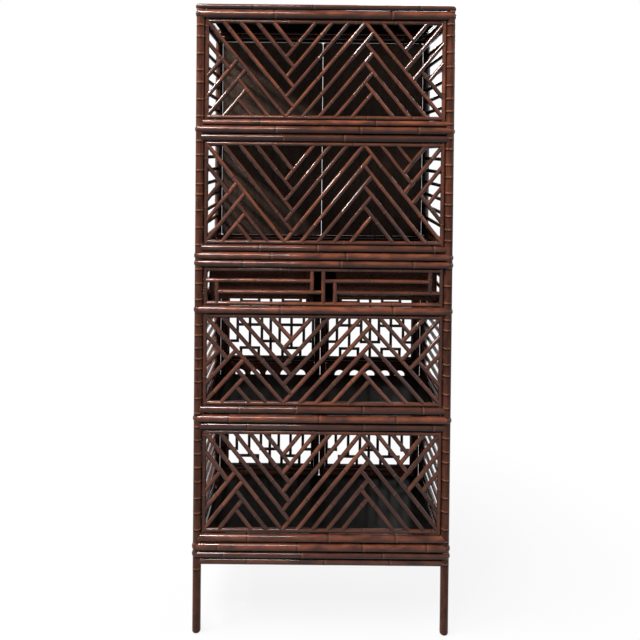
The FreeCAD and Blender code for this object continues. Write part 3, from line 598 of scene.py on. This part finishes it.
@dataclass(frozen=True)
class Cane:
    """One straight cane as the frame holds it."""

    start: Vector
    end: Vector
    radius: float

    @property
    def length(self) -> float:
        """Give the distance from end to end."""
        return (self.end - self.start).length

    def lengthened(self, low: float, high: float) -> "Cane":
        """Give the same cane carried on past its ends.

        Args:
            low: How far past the start.
            high: How far past the end.

        Returns:
            The longer cane.
        """
        heading = (self.end - self.start).normalized()
        return Cane(self.start - heading * low, self.end + heading * high, self.radius)

    def stand(self, twist: float) -> Matrix:
        """Give the matrix from an upright cane at the origin to this one.

        Args:
            twist: How far the cane is turned about itself.

        Returns:
            The matrix.
        """
        heading = (self.end - self.start).normalized()
        turn = Vector((0.0, 0.0, 1.0)).rotation_difference(heading).to_matrix().to_4x4()
        return Matrix.Translation(self.start) @ turn @ Matrix.Rotation(twist, 4, "Z")


def node_copy(node: str) -> bmesh.types.BMesh:
    """Copy a node's mesh as it is, in loose triangles.

    Args:
        node: The frame's node.

    Returns:
        The copy.
    """
    copy = bmesh.new()
    copy.from_mesh(FRAME["nodes"][node].data)
    copy.normal_update()
    return copy


def split_solids(copy: bmesh.types.BMesh) -> list[list[bmesh.types.BMFace]]:
    """Split a node's copy into the solids it holds, also where they touch.

    The frame lists a node's faces solid by solid, and a solid is whole once every edge of its
    faces has been met again from the other side.

    Args:
        copy: The node's copy.

    Returns:
        The faces of each solid.
    """
    same = bmesh.ops.find_doubles(copy, verts=copy.verts[:], dist=WELD)["targetmap"]
    solids: list[list[bmesh.types.BMFace]] = []
    solid: list[bmesh.types.BMFace] = []
    waiting: set[tuple[bmesh.types.BMVert, bmesh.types.BMVert]] = set()
    for face in copy.faces:
        solid.append(face)
        for loop in face.loops:
            start, end = (same.get(vert, vert) for vert in (loop.vert, loop.link_loop_next.vert))
            if (end, start) in waiting:
                waiting.remove((end, start))
            else:
                waiting.add((start, end))
        if not waiting:
            solids.append(solid)
            solid = []
    return solids


def measure_cane(solid: Sequence[bmesh.types.BMFace]) -> Cane:
    """Find the axis, the ends of the full round and the radius of one solid cane.

    Args:
        solid: The faces of the solid.

    Returns:
        The cane.
    """
    normals = np.array([face.normal[:] for face in solid])
    areas = np.array([face.calc_area() for face in solid])
    axis = np.zeros(3)
    wall = np.ones(len(solid), bool)
    for _ in range(2):
        weights = (normals[wall] * areas[wall, None]).T @ normals[wall]
        axis = np.linalg.eigh(weights)[1][:, 0]
        wall = np.abs(normals @ axis) < WALL_LEAN
    axis = axis * np.sign(axis[np.argmax(np.abs(axis))])
    across = np.linalg.svd(axis[None, :])[2][1:]
    corners = np.array([vert.co[:] for face, side in zip(solid, wall) if side for vert in face.verts])
    spread = corners @ across.T
    middle = (spread.min(0) + spread.max(0)) / 2
    radius = float((spread.max(0) - spread.min(0)).max() / 2)
    along = corners @ axis
    full = along[np.hypot(*(spread - middle).T) > FULL_ROUND * radius]
    centre = middle @ across
    return Cane(Vector(centre + axis * full.min()), Vector(centre + axis * full.max()), radius)


def read_canes(node: str) -> list[Cane]:
    """Read every straight cane that a node holds.

    Args:
        node: The frame's node.

    Returns:
        The canes, from the lowest up.
    """
    copy = node_copy(node)
    canes = [measure_cane(solid) for solid in split_solids(copy)]
    copy.free()
    return sorted(canes, key=lambda cane: tuple(round(part, 4) for part in (*cane.start.zxy, *cane.end)))


def read_boards(node: str) -> list[bmesh.types.BMesh]:
    """Copy every board that a node holds on its own, with its triangles welded.

    Args:
        node: The frame's node.

    Returns:
        The boards.
    """
    source = node_copy(node)
    boards = []
    for solid in split_solids(source):
        own = {face.index for face in solid}
        board = source.copy()
        board.faces.index_update()
        others = [face for face in board.faces if face.index not in own]
        bmesh.ops.delete(board, geom=others, context="FACES")
        bmesh.ops.remove_doubles(board, verts=board.verts[:], dist=WELD)
        board.normal_update()
        boards.append(board)
    source.free()
    return boards


def stain_place(rng: random.Random) -> Vector:
    """Choose where a cane's stain is read, so that no two canes look the same."""
    return Vector([rng.uniform(-STAIN_SPREAD, STAIN_SPREAD) for _ in range(3)])


@dataclass(frozen=True)
class Station:
    """One cross-section along a cane."""

    along: float
    radius: float
    ring: float = 0.0
    crest: float = 0.0


@dataclass(frozen=True)
class CaneShape:
    """How one kind of cane has grown: its joints, its swellings and its small bends."""

    sides: int
    ring_gap: float
    ring_half: float
    swell: float = 0.02
    bow: float = 0.0
    fullness: float = 1.0
    stretch: float = 0.06
    jitter: float = 0.18
    bare: float = 0.0
    ends: Ends = Ends.BURIED
    end_round: float = 0.0
    ROUND_STEPS: ClassVar[int] = 4
    # Bare end of a cane in ring halves, share of a gap before the first ring, and unevenness between
    END_MARGIN: ClassVar[float] = 2.4
    FIRST_GAP: ClassVar[tuple[float, float]] = (0.2, 0.95)
    UNEVEN: ClassVar[float] = 0.018
    # Place in ring halves, rise, shade and crest of each cross-section of a ring
    RING: ClassVar[tuple[tuple[float, float, float, float], ...]] = (
        (-1.8, 0.0, 0.0, 0.0), (-1.05, 0.3, 0.6, 0.0), (-0.5, 0.8, 1.0, 0.0),
        (0.0, 0.2, 1.0, 0.0), (0.4, 1.0, 0.3, 1.0), (0.95, 0.55, 0.05, 0.7), (1.7, 0.0, 0.0, 0.0))

    def ring_spots(self, length: float, rng: random.Random) -> list[float]:
        """Choose where a cane's joints lie.

        Args:
            length: The cane's length.
            rng: The seeded source of variation.

        Returns:
            Distances from the start.
        """
        margin = self.END_MARGIN * self.ring_half
        spot = self.bare + self.ring_gap * rng.uniform(*self.FIRST_GAP)
        spots = []
        while spot < length - margin:
            if spot > margin:
                spots.append(spot)
            spot += self.ring_gap * rng.uniform(1 - self.jitter, 1 + self.jitter)
        return spots

    def _end(self, base: float, rounded: bool) -> list[Station]:
        """Give the cross-sections of one end, from the middle of its cut face outwards.

        Args:
            base: The cane's radius between its joints.
            rounded: Whether the end is rounded over.

        Returns:
            The cross-sections, measured from the end.
        """
        if not rounded:
            return [Station(0.0, 0.0), Station(0.0, base)]
        turns = [math.pi / 2 * step / self.ROUND_STEPS for step in range(self.ROUND_STEPS + 1)]
        edge = [Station(self.end_round * (1 - math.cos(turn)), base - self.end_round * (1 - math.sin(turn)))
                for turn in turns]
        return [Station(0.0, 0.0), *edge]

    def stations(self, length: float, radius: float, rng: random.Random) -> list[Station]:
        """Lay out every cross-section of a cane.

        Args:
            length: The cane's length.
            radius: Its radius in the frame.
            rng: The seeded source of variation.

        Returns:
            The cross-sections from end to end.
        """
        radius *= self.fullness
        base = radius * (1 - self.swell)
        low = self._end(base, self.ends in (Ends.FOOT, Ends.BOTH))
        high = self._end(base, self.ends is Ends.BOTH)
        laid = list(low)
        spots = self.ring_spots(length, rng)
        for spot in [*spots, length]:
            last = spot == length
            stop = length - high[-1].along if last else spot + self.RING[0][0] * self.ring_half
            gap = stop - laid[-1].along
            pieces = max(1, math.ceil(gap / self.stretch))
            start = laid[-1].along
            for step in range(1, pieces):
                laid.append(Station(start + gap * step / pieces, base * (1 - self.UNEVEN * rng.random())))
            if not last:
                laid += [Station(spot + away * self.ring_half, base + (radius - base) * rise, ring, crest)
                         for away, rise, ring, crest in self.RING]
        return laid + [Station(length - end.along, end.radius) for end in reversed(high)]

    def grow(self, into: bmesh.types.BMesh, cane: Cane, rng: random.Random) -> None:
        """Model one cane and add it to a piece.

        Args:
            into: The piece's mesh.
            cane: Where the cane runs.
            rng: The seeded source of variation.
        """
        culm = bmesh.new()
        place = culm.verts.layers.float_vector.new(PLACE)
        marks = culm.verts.layers.float_color.new(MARKS)
        tone = rng.random()
        chain = []
        for station in self.stations(cane.length, cane.radius, rng):
            vert = culm.verts.new((station.radius, 0.0, station.along))
            vert[marks] = (tone, station.ring, station.crest, 1.0)
            chain.append(vert)
        edges = [culm.edges.new(pair) for pair in zip(chain, chain[1:])]
        bmesh.ops.spin(culm, geom=[*chain, *edges], cent=(0.0, 0.0, 0.0), axis=(0.0, 0.0, 1.0),
                       angle=2 * math.pi, steps=self.sides, use_merge=True)
        bmesh.ops.remove_doubles(culm, verts=culm.verts[:], dist=WELD)
        bmesh.ops.recalc_face_normals(culm, faces=culm.faces[:])
        shift = stain_place(rng)
        for vert in culm.verts:
            vert[place] = vert.co + shift
            share = vert.co.z / cane.length
            vert.co.x += 4 * self.bow * share * (1 - share)
        bmesh.ops.transform(culm, matrix=cane.stand(rng.uniform(0, 2 * math.pi)), verts=culm.verts[:])
        add_to_piece(into, culm)


def add_to_piece(into: bmesh.types.BMesh, part: bmesh.types.BMesh) -> None:
    """Move a finished part of a piece into the piece's mesh.

    Args:
        into: The piece's mesh.
        part: The part, which is used up.
    """
    carrier = bpy.data.meshes.new("part")
    part.to_mesh(carrier)
    part.free()
    into.from_mesh(carrier)
    bpy.data.meshes.remove(carrier)


def new_cane_piece() -> bmesh.types.BMesh:
    """Start a piece that canes are added to.

    Returns:
        An empty mesh with the canes' attributes.
    """
    piece = bmesh.new()
    piece.verts.layers.float_vector.new(PLACE)
    piece.verts.layers.float_color.new(MARKS)
    return piece


@dataclass
class SubAssembly:
    """Pieces of the cabinet that are made and dressed together."""

    nodes: tuple[str, ...]
    finish: Finish
    pieces: list[bpy.types.Object] = field(default_factory=list, init=False)
    SHARP: ClassVar[float] = math.radians(38)

    def publish(self, made: bmesh.types.BMesh, node: str, kind: str) -> None:
        """Turn a finished mesh into a piece that stands for its node.

        Args:
            made: The mesh, which is used up.
            node: The node it replaces.
            kind: What the piece is, for its name.
        """
        name = f"{node}_{kind}"
        mesh = bpy.data.meshes.new(name)
        made.to_mesh(mesh)
        made.free()
        mesh.shade_smooth()
        mesh.set_sharp_from_angle(angle=self.SHARP)
        mesh.materials.append(self.finish.material())
        piece = bpy.data.objects.new(name, mesh)
        bpy.context.scene.collection.objects.link(piece)
        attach(piece, FRAME["nodes"][node]["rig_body"])
        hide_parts(node)
        self.pieces.append(piece)
        LOG.info("%s: %d faces for %s", name, len(mesh.polygons), node)

    def build(self) -> None:
        """Model and dress every piece."""
        raise NotImplementedError


@dataclass
class CaneAssembly(SubAssembly):
    """Pieces made of canes, each with its own seeded variation."""

    seed: int

    def sources(self) -> Iterator[tuple[str, random.Random]]:
        """Give each node with its seeded source of variation."""
        for index, node in enumerate(self.nodes):
            yield node, random.Random(f"{self.seed}-{index}")


@dataclass
class CaneWork(CaneAssembly):
    """Straight canes that end inside the canes they meet."""

    shape: CaneShape

    def build(self) -> None:
        """Model and dress the canes of each node as one piece."""
        for node, rng in self.sources():
            piece = new_cane_piece()
            for cane in read_canes(node):
                self.shape.grow(piece, cane, rng)
            self.publish(piece, node, "canes")


@dataclass
class Posts(CaneAssembly):
    """The four corner posts, closely jointed, on rounded feet."""

    shape: CaneShape

    def build(self) -> None:
        """Model and dress the posts."""
        for node, rng in self.sources():
            low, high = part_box(node)
            middle = (low + high) / 2
            cane = Cane(Vector((middle.x, middle.y, low.z)), Vector((middle.x, middle.y, high.z)),
                        (high.x - low.x) / 2)
            piece = new_cane_piece()
            self.shape.grow(piece, cane, rng)
            self.publish(piece, node, "culm")


@dataclass
class WrapRails(CaneAssembly):
    """Rails that run round the cabinet and bend hard round its posts."""

    shape: CaneShape
    posts: tuple[str, ...]
    open_nodes: tuple[str, ...]
    top_node: str
    oval: float = 1.035
    bend_steps: int = 7
    # Length of fibre to a radian of a bend, its shade, and the least and most of its tone
    BEND_RUN: ClassVar[float] = 0.015
    BEND_SHADE: ClassVar[float] = 0.12
    BEND_TONES: ClassVar[tuple[float, float]] = (0.2, 0.7)
    OUTWARD: ClassVar[tuple[tuple[int, int], ...]] = ((0, -1), (1, 0), (0, 1), (-1, 0))

    def post_centres(self) -> list[Vector]:
        """Give the posts in plan, going round from the left of the lattice face."""
        boxes = [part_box(post) for post in self.posts]
        return [Vector(((low.x + high.x) / 2, (low.y + high.y) / 2, 0.0)) for low, high in boxes]

    def bend(self, into: bmesh.types.BMesh, post: Vector, heading: float, setout: float,
             radius: float, rng: random.Random) -> None:
        """Model the quarter turn of a rail round a post.

        Args:
            into: The piece's mesh.
            post: The post's axis at the rail's height.
            heading: The plan angle where the turn starts.
            setout: How far the rail's axis lies outside the post's.
            radius: The rail's radius between its joints.
            rng: The seeded source of variation.
        """
        turn = bmesh.new()
        place = turn.verts.layers.float_vector.new(PLACE)
        marks = turn.verts.layers.float_color.new(MARKS)
        upright = Matrix.Translation((setout, 0.0, 0.0)) @ Matrix.Rotation(math.pi / 2, 4, "X")
        bmesh.ops.create_circle(turn, cap_ends=False, segments=self.shape.sides, radius=radius,
                                matrix=upright)
        bmesh.ops.bisect_plane(turn, geom=[*turn.verts, *turn.edges], dist=WELD, plane_co=(0.0, 0.0, 0.0),
                               plane_no=(1.0, 0.0, 0.0), clear_inner=True)
        top = max(turn.verts, key=lambda vert: (vert.co.x < WELD, vert.co.z))
        bottom = max(turn.verts, key=lambda vert: (vert.co.x < WELD, -vert.co.z))
        bmesh.ops.spin(turn, geom=[*turn.verts, *turn.edges], cent=(0.0, 0.0, 0.0), axis=(0.0, 0.0, 1.0),
                       angle=math.pi / 2, steps=self.bend_steps)
        ends = [top.co.copy(), bottom.co.copy()]
        bmesh.ops.remove_doubles(turn, verts=turn.verts[:], dist=WELD)
        bmesh.ops.holes_fill(turn, edges=[edge for edge in turn.edges if edge.is_boundary], sides=0)
        poles = [min(turn.verts, key=lambda vert: (vert.co - end).length) for end in ends]
        bmesh.ops.connect_vert_pair(turn, verts=poles)
        bmesh.ops.recalc_face_normals(turn, faces=turn.faces[:])
        shift = stain_place(rng)
        tone = rng.uniform(*self.BEND_TONES)
        for vert in turn.verts:
            run = math.atan2(vert.co.y, vert.co.x) * self.BEND_RUN
            vert[place] = Vector((math.hypot(vert.co.x, vert.co.y) - setout, vert.co.z, run)) + shift
            vert[marks] = (tone, self.BEND_SHADE, 0.0, 1.0)
        bmesh.ops.transform(turn, matrix=Matrix.Translation(post) @ Matrix.Rotation(heading, 4, "Z"),
                            verts=turn.verts[:])
        add_to_piece(into, turn)

    def build(self) -> None:
        """Model and dress the rails, each as one piece."""
        posts = self.post_centres()
        for node, rng in self.sources():
            low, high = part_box(node)
            radius = (high.z - low.z) / 2
            level = Vector((0.0, 0.0, (high.z + low.z) / 2))
            setout = high.x - posts[1].x - radius
            sides = (3, 0, 1) if node in self.open_nodes else (0, 1, 2, 3)
            piece = new_cane_piece()
            for side in sides:
                ahead = (side + 1) % 4
                out = Vector((*self.OUTWARD[side], 0.0))
                cane = Cane(posts[side] + out * setout + level, posts[ahead] + out * setout + level, radius)
                self.shape.grow(piece, cane, rng)
                if ahead in sides:
                    self.bend(piece, posts[ahead] + level, math.atan2(out.y, out.x), setout,
                              radius * (1 - self.shape.swell), rng)
            if node != self.top_node:
                bmesh.ops.scale(piece, vec=(1.0, 1.0, self.oval), space=Matrix.Translation(-level),
                                verts=piece.verts[:])
            self.publish(piece, node, "culm")


@dataclass
class DoorFrames(CaneAssembly):
    """Door frames: two rounded stiles, the hinge one on pins, and the rails between them."""

    stile: CaneShape
    hinge: CaneShape
    rail: CaneShape
    pin: CaneShape
    pin_radius: float
    pin_length: float

    def build(self) -> None:
        """Model and dress each frame as one piece."""
        for node, rng in self.sources():
            piece = new_cane_piece()
            canes = read_canes(node)
            stiles = [cane for cane in canes if cane.end.z - cane.start.z > cane.length / 2]
            turning = max(stiles, key=lambda cane: abs(cane.start.x))
            for cane in canes:
                if cane not in stiles:
                    self.rail.grow(piece, cane, rng)
                    continue
                rounded = cane.lengthened(self.stile.end_round, self.stile.end_round)
                if cane is not turning:
                    self.stile.grow(piece, rounded, rng)
                    continue
                self.hinge.grow(piece, rounded, rng)
                pin = Cane(rounded.start, rounded.end, self.pin_radius)
                self.pin.grow(piece, pin.lengthened(self.pin_length, self.pin_length), rng)
            self.publish(piece, node, "canes")


@dataclass
class Boards(SubAssembly):
    """Boards with eased edges, cut as the frame has them."""

    ease: float
    rim: float
    ease_steps: int = 2
    FLAT: ClassVar[float] = math.radians(1.0)
    CORNER: ClassVar[float] = math.radians(50)

    def cut(self, into: bmesh.types.BMesh, plank: bmesh.types.BMesh) -> None:
        """Ease one board's edges, mark its rim and add it to a piece.

        Args:
            into: The piece's mesh.
            plank: The board, which is used up.
        """
        edge = plank.verts.layers.float.new(EDGE)
        bmesh.ops.dissolve_limit(plank, angle_limit=self.FLAT, verts=plank.verts[:],
                                 edges=plank.edges[:], use_dissolve_boundaries=False)
        corners = [line for line in plank.edges if line.calc_face_angle(0.0) > self.CORNER]
        eased = bmesh.ops.bevel(plank, geom=corners, offset=self.ease, offset_type="OFFSET",
                                affect="EDGES", segments=self.ease_steps, profile=0.5, material=-1,
                                clamp_overlap=True)
        rounded = set(eased["faces"])
        for vert in plank.verts:
            vert[edge] = 1.0
        flats = [face for face in plank.faces if face not in rounded]
        bmesh.ops.inset_region(plank, faces=flats, thickness=self.rim, use_boundary=True,
                               use_even_offset=True)
        for face in flats:
            if face.is_valid:
                for vert in face.verts:
                    vert[edge] = 0.0
        add_to_piece(into, plank)

    def build(self) -> None:
        """Model and dress each node's boards as one piece."""
        for node in self.nodes:
            piece = bmesh.new()
            piece.verts.layers.float.new(EDGE)
            for plank in read_boards(node):
                self.cut(piece, plank)
            self.publish(piece, node, "plank")


@dataclass
class KeptNodes(SubAssembly):
    """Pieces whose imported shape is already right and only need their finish."""

    def build(self) -> None:
        """Dress each node's own object."""
        for node in self.nodes:
            kept = FRAME["nodes"][node]
            kept.data.materials.clear()
            kept.data.materials.append(self.finish.material())
            self.pieces.append(kept)
            LOG.info("%s: kept from the frame", node)


@dataclass(frozen=True)
class SoftLight:
    """One soft studio lamp."""

    name: str
    at: tuple[float, float, float]
    aim: tuple[float, float, float]
    size: tuple[float, float]
    watts: float

    def hang(self) -> None:
        """Add the lamp to the scene."""
        lamp = bpy.data.lights.new(self.name, "AREA")
        lamp.shape = "RECTANGLE"
        lamp.size, lamp.size_y = self.size
        lamp.energy = self.watts
        holder = bpy.data.objects.new(self.name, lamp)
        bpy.context.scene.collection.objects.link(holder)
        holder.location = self.at
        holder.rotation_euler = (Vector(self.aim) - Vector(self.at)).to_track_quat("-Z", "Y").to_euler()


@dataclass(frozen=True)
class Studio:
    """The pale floor, the soft light and the camera."""

    floor_size: float = 14.0
    floor_drop: float = 0.0005
    floor_grey: float = 0.45
    floor_roughness: float = 0.9
    floor_specular: float = 0.1
    shaded_floor: tuple[float, float] = (0.55, 1.3)
    floor_white: tuple[float, float] = (0.88, 1.0)
    ambient: float = 0.14
    camera_at: tuple[float, float, float] = (-0.0429, -2.0363, 1.3816)
    pitch: float = -0.0125
    roll: float = 0.0096
    lens: float = 36.32
    sensor: float = 36.0
    shift: tuple[float, float] = (0.0162, -0.2495)
    lights: tuple[SoftLight, ...] = (
        SoftLight("overhead_strip", (-1.3, -0.95, 3.6), (0.0, -0.3, 0.9), (2.6, 0.12), 200.0),
        SoftLight("left_strip", (-2.7, -1.2, 3.4), (0.0, -0.2, 1.2), (0.9, 0.12), 90.0),
        SoftLight("front_softbox", (-0.8, -2.4, 3.5), (0.0, 0.0, 1.1), (1.4, 0.15), 80.0),
        SoftLight("right_fill", (3.0, -0.8, 2.0), (0.0, 0.0, 1.0), (1.4, 1.4), 20.0),
        SoftLight("door_side_softbox", (1.2, 2.8, 2.9), (0.0, 0.0, 0.9), (1.8, 1.8), 80.0),
    )

    def lay_floor(self) -> None:
        """Add the floor, white to the camera and shaded where the cabinet stands."""
        sheet = bmesh.new()
        bmesh.ops.create_grid(sheet, x_segments=1, y_segments=1, size=self.floor_size / 2)
        mesh = bpy.data.meshes.new("pale_floor")
        sheet.to_mesh(mesh)
        sheet.free()
        floor = bpy.data.objects.new("pale_floor", mesh)
        floor.location.z = CAD_BOX[0][2] - self.floor_drop
        bpy.context.scene.collection.objects.link(floor)
        made, bench, shader = start_material("pale_floor")
        bench.fill(shader, {
            "Base Color": (self.floor_grey, self.floor_grey, self.floor_grey, 1.0),
            "Roughness": self.floor_roughness, "Specular IOR Level": self.floor_specular})
        white = bench.node("ShaderNodeEmission", {"Strength": 1.0})
        reach = bench.node("ShaderNodeVectorMath", {
            0: bench.node("ShaderNodeTexCoord").outputs["Object"]}, operation="LENGTH").outputs["Value"]
        fade = bench.span(reach, self.shaded_floor, self.floor_white)
        share = bench.sum("MULTIPLY", bench.sees_backdrop(), fade)
        mixed = bench.node("ShaderNodeMixShader", {
            0: share, 1: shader.outputs[0], 2: white.outputs[0]})
        output = next(node for node in made.node_tree.nodes if node.type == "OUTPUT_MATERIAL")
        bench.feed(output.inputs["Surface"], mixed.outputs[0])
        mesh.materials.append(made)

    def light(self) -> None:
        """Add the lamps and the even light of a white room."""
        for lamp in self.lights:
            lamp.hang()
        world = bpy.data.worlds.new("white_room")
        world.use_nodes = True
        bpy.context.scene.world = world
        bench = NodeBench(world.node_tree)
        room = next(node for node in world.node_tree.nodes if node.type == "BACKGROUND")
        room.inputs["Color"].default_value = (1.0, 1.0, 1.0, 1.0)
        seen = bench.sees_backdrop()
        bench.feed(room.inputs["Strength"], bench.span(seen, (0.0, 1.0), (self.ambient, 1.0)))

    def set_camera(self) -> None:
        """Stand the camera where the photograph was taken from, with its frame shifted down."""
        lens = bpy.data.cameras.new("photo_camera")
        lens.sensor_width = self.sensor
        lens.lens = self.lens
        lens.shift_x, lens.shift_y = self.shift
        holder = bpy.data.objects.new("photo_camera", lens)
        bpy.context.scene.collection.objects.link(holder)
        holder.location = self.camera_at
        aim = Matrix.Rotation(math.pi / 2 + self.pitch, 3, "X") @ Matrix.Rotation(self.roll, 3, "Z")
        holder.rotation_euler = aim.to_euler()
        bpy.context.scene.camera = holder
        bpy.context.scene.view_settings.view_transform = "Standard"

    def build(self) -> None:
        """Set up the whole studio."""
        self.lay_floor()
        self.light()
        self.set_camera()


POST_NODES = ("lattice_left_post", "lattice_right_post", "door_right_post", "door_left_post")
POST_CANE = CaneShape(sides=24, ring_gap=0.041, ring_half=0.0034, fullness=1.03, jitter=0.3, bare=0.17,
                      ends=Ends.FOOT, end_round=0.005)
WRAP_CANE = CaneShape(sides=20, ring_gap=0.25, ring_half=0.0042, swell=0.015, jitter=0.35)
RAIL_CANE = replace(WRAP_CANE, swell=0.02, fullness=1.04)
DOOR_RAIL = replace(RAIL_CANE, fullness=1.1)
STRIP_CANE = CaneShape(sides=14, ring_gap=0.17, ring_half=0.0026, swell=0.035, bow=0.0006, fullness=1.09,
                       jitter=0.35)
STICK_CANE = replace(STRIP_CANE, sides=12, ring_gap=0.13, ring_half=0.002, swell=0.03, bow=0.0003,
                     fullness=1.05)
STILE_CANE = CaneShape(sides=20, ring_gap=0.12, ring_half=0.0034, fullness=1.05, jitter=0.2,
                       ends=Ends.BOTH, end_round=0.006)
HINGE_CANE = replace(STILE_CANE, fullness=1.18)
# A pin is shorter than its ring gap, so it has no rings
PLAIN_PIN = CaneShape(sides=14, ring_gap=9.0, ring_half=0.002)


def cabinet() -> Iterable[SubAssembly]:
    """List the cabinet's sub-assemblies in the order they are built.

    Returns:
        The sub-assemblies.
    """
    sides = ("left", "right")
    doors = [f"{tier}_{side}_door" for tier in ("upper", "lower") for side in sides]
    drawers = [f"{side}_drawer" for side in sides]
    wraps = tuple(f"{level}_wrap_rail" for level in (
        "plinth", "base", "lower_shelf", "drawer", "waist", "upper_sill", "upper_shelf", "head", "crown"))
    return (
        Posts(POST_NODES, POST_LACQUER, seed=11, shape=POST_CANE),
        WrapRails(wraps, RAIL_LACQUER, seed=12, shape=WRAP_CANE, posts=POST_NODES,
                  open_nodes=("lower_shelf_wrap_rail", "upper_shelf_wrap_rail"), top_node="crown_wrap_rail"),
        CaneWork(("lattice_face_stretchers", "left_side_stretchers", "right_side_stretchers",
                  "door_face_stretcher", "board_bearers", "drawer_divider"),
                 RAIL_LACQUER, seed=13, shape=RAIL_CANE),
        CaneWork(tuple(f"lattice_{level}" for level in ("top", "upper", "waist", "lower", "bottom")),
                 LATTICE_LACQUER, seed=14, shape=STRIP_CANE),
        CaneWork(("left_side_panels", "right_side_panels"), LATTICE_LACQUER, seed=15, shape=STRIP_CANE),
        CaneWork(("panel_pegs",), LATTICE_LACQUER, seed=16, shape=PLAIN_PIN),
        DoorFrames(tuple(f"{door}_frame" for door in doors), DOOR_LACQUER, seed=17, stile=STILE_CANE,
                   hinge=HINGE_CANE, rail=DOOR_RAIL, pin=PLAIN_PIN, pin_radius=0.004, pin_length=0.010),
        CaneWork(tuple(f"lower_{side}_door_lattice" for side in sides),
                 LATTICE_LACQUER, seed=18, shape=STICK_CANE),
        Boards(("top_board", "upper_shelf", "upper_floor", "lower_shelf", "bottom_board"),
               FLAT_BOARD, ease=0.0012, rim=0.003),
        Boards(tuple(f"upper_{side}_door_leaf" for side in sides), UPRIGHT_BOARD, ease=0.001, rim=0.002),
        Boards((*(f"lower_{side}_door_waist_board" for side in sides),
                *(f"{drawer}_{part}" for drawer in drawers for part in ("front", "box"))),
               DRAWER_BOARD, ease=0.001, rim=0.002),
        Boards(("drawer_runners",), FLAT_BOARD, ease=0.0006, rim=0.001),
        KeptNodes(tuple(f"{leaf}_{part}" for leaf in (*doors, *drawers) for part in ("eye", "ring")),
                  OLD_BRASS),
    )


def main() -> None:
    """Build the cabinet and the studio round it."""
    logging.basicConfig(level=logging.INFO, format="%(message)s")
    for assembly in cabinet():
        assembly.build()
        LOG.info("%s: %d pieces", type(assembly).__name__, len(assembly.pieces))
    Studio().build()


if __name__ == "__main__":
    main()
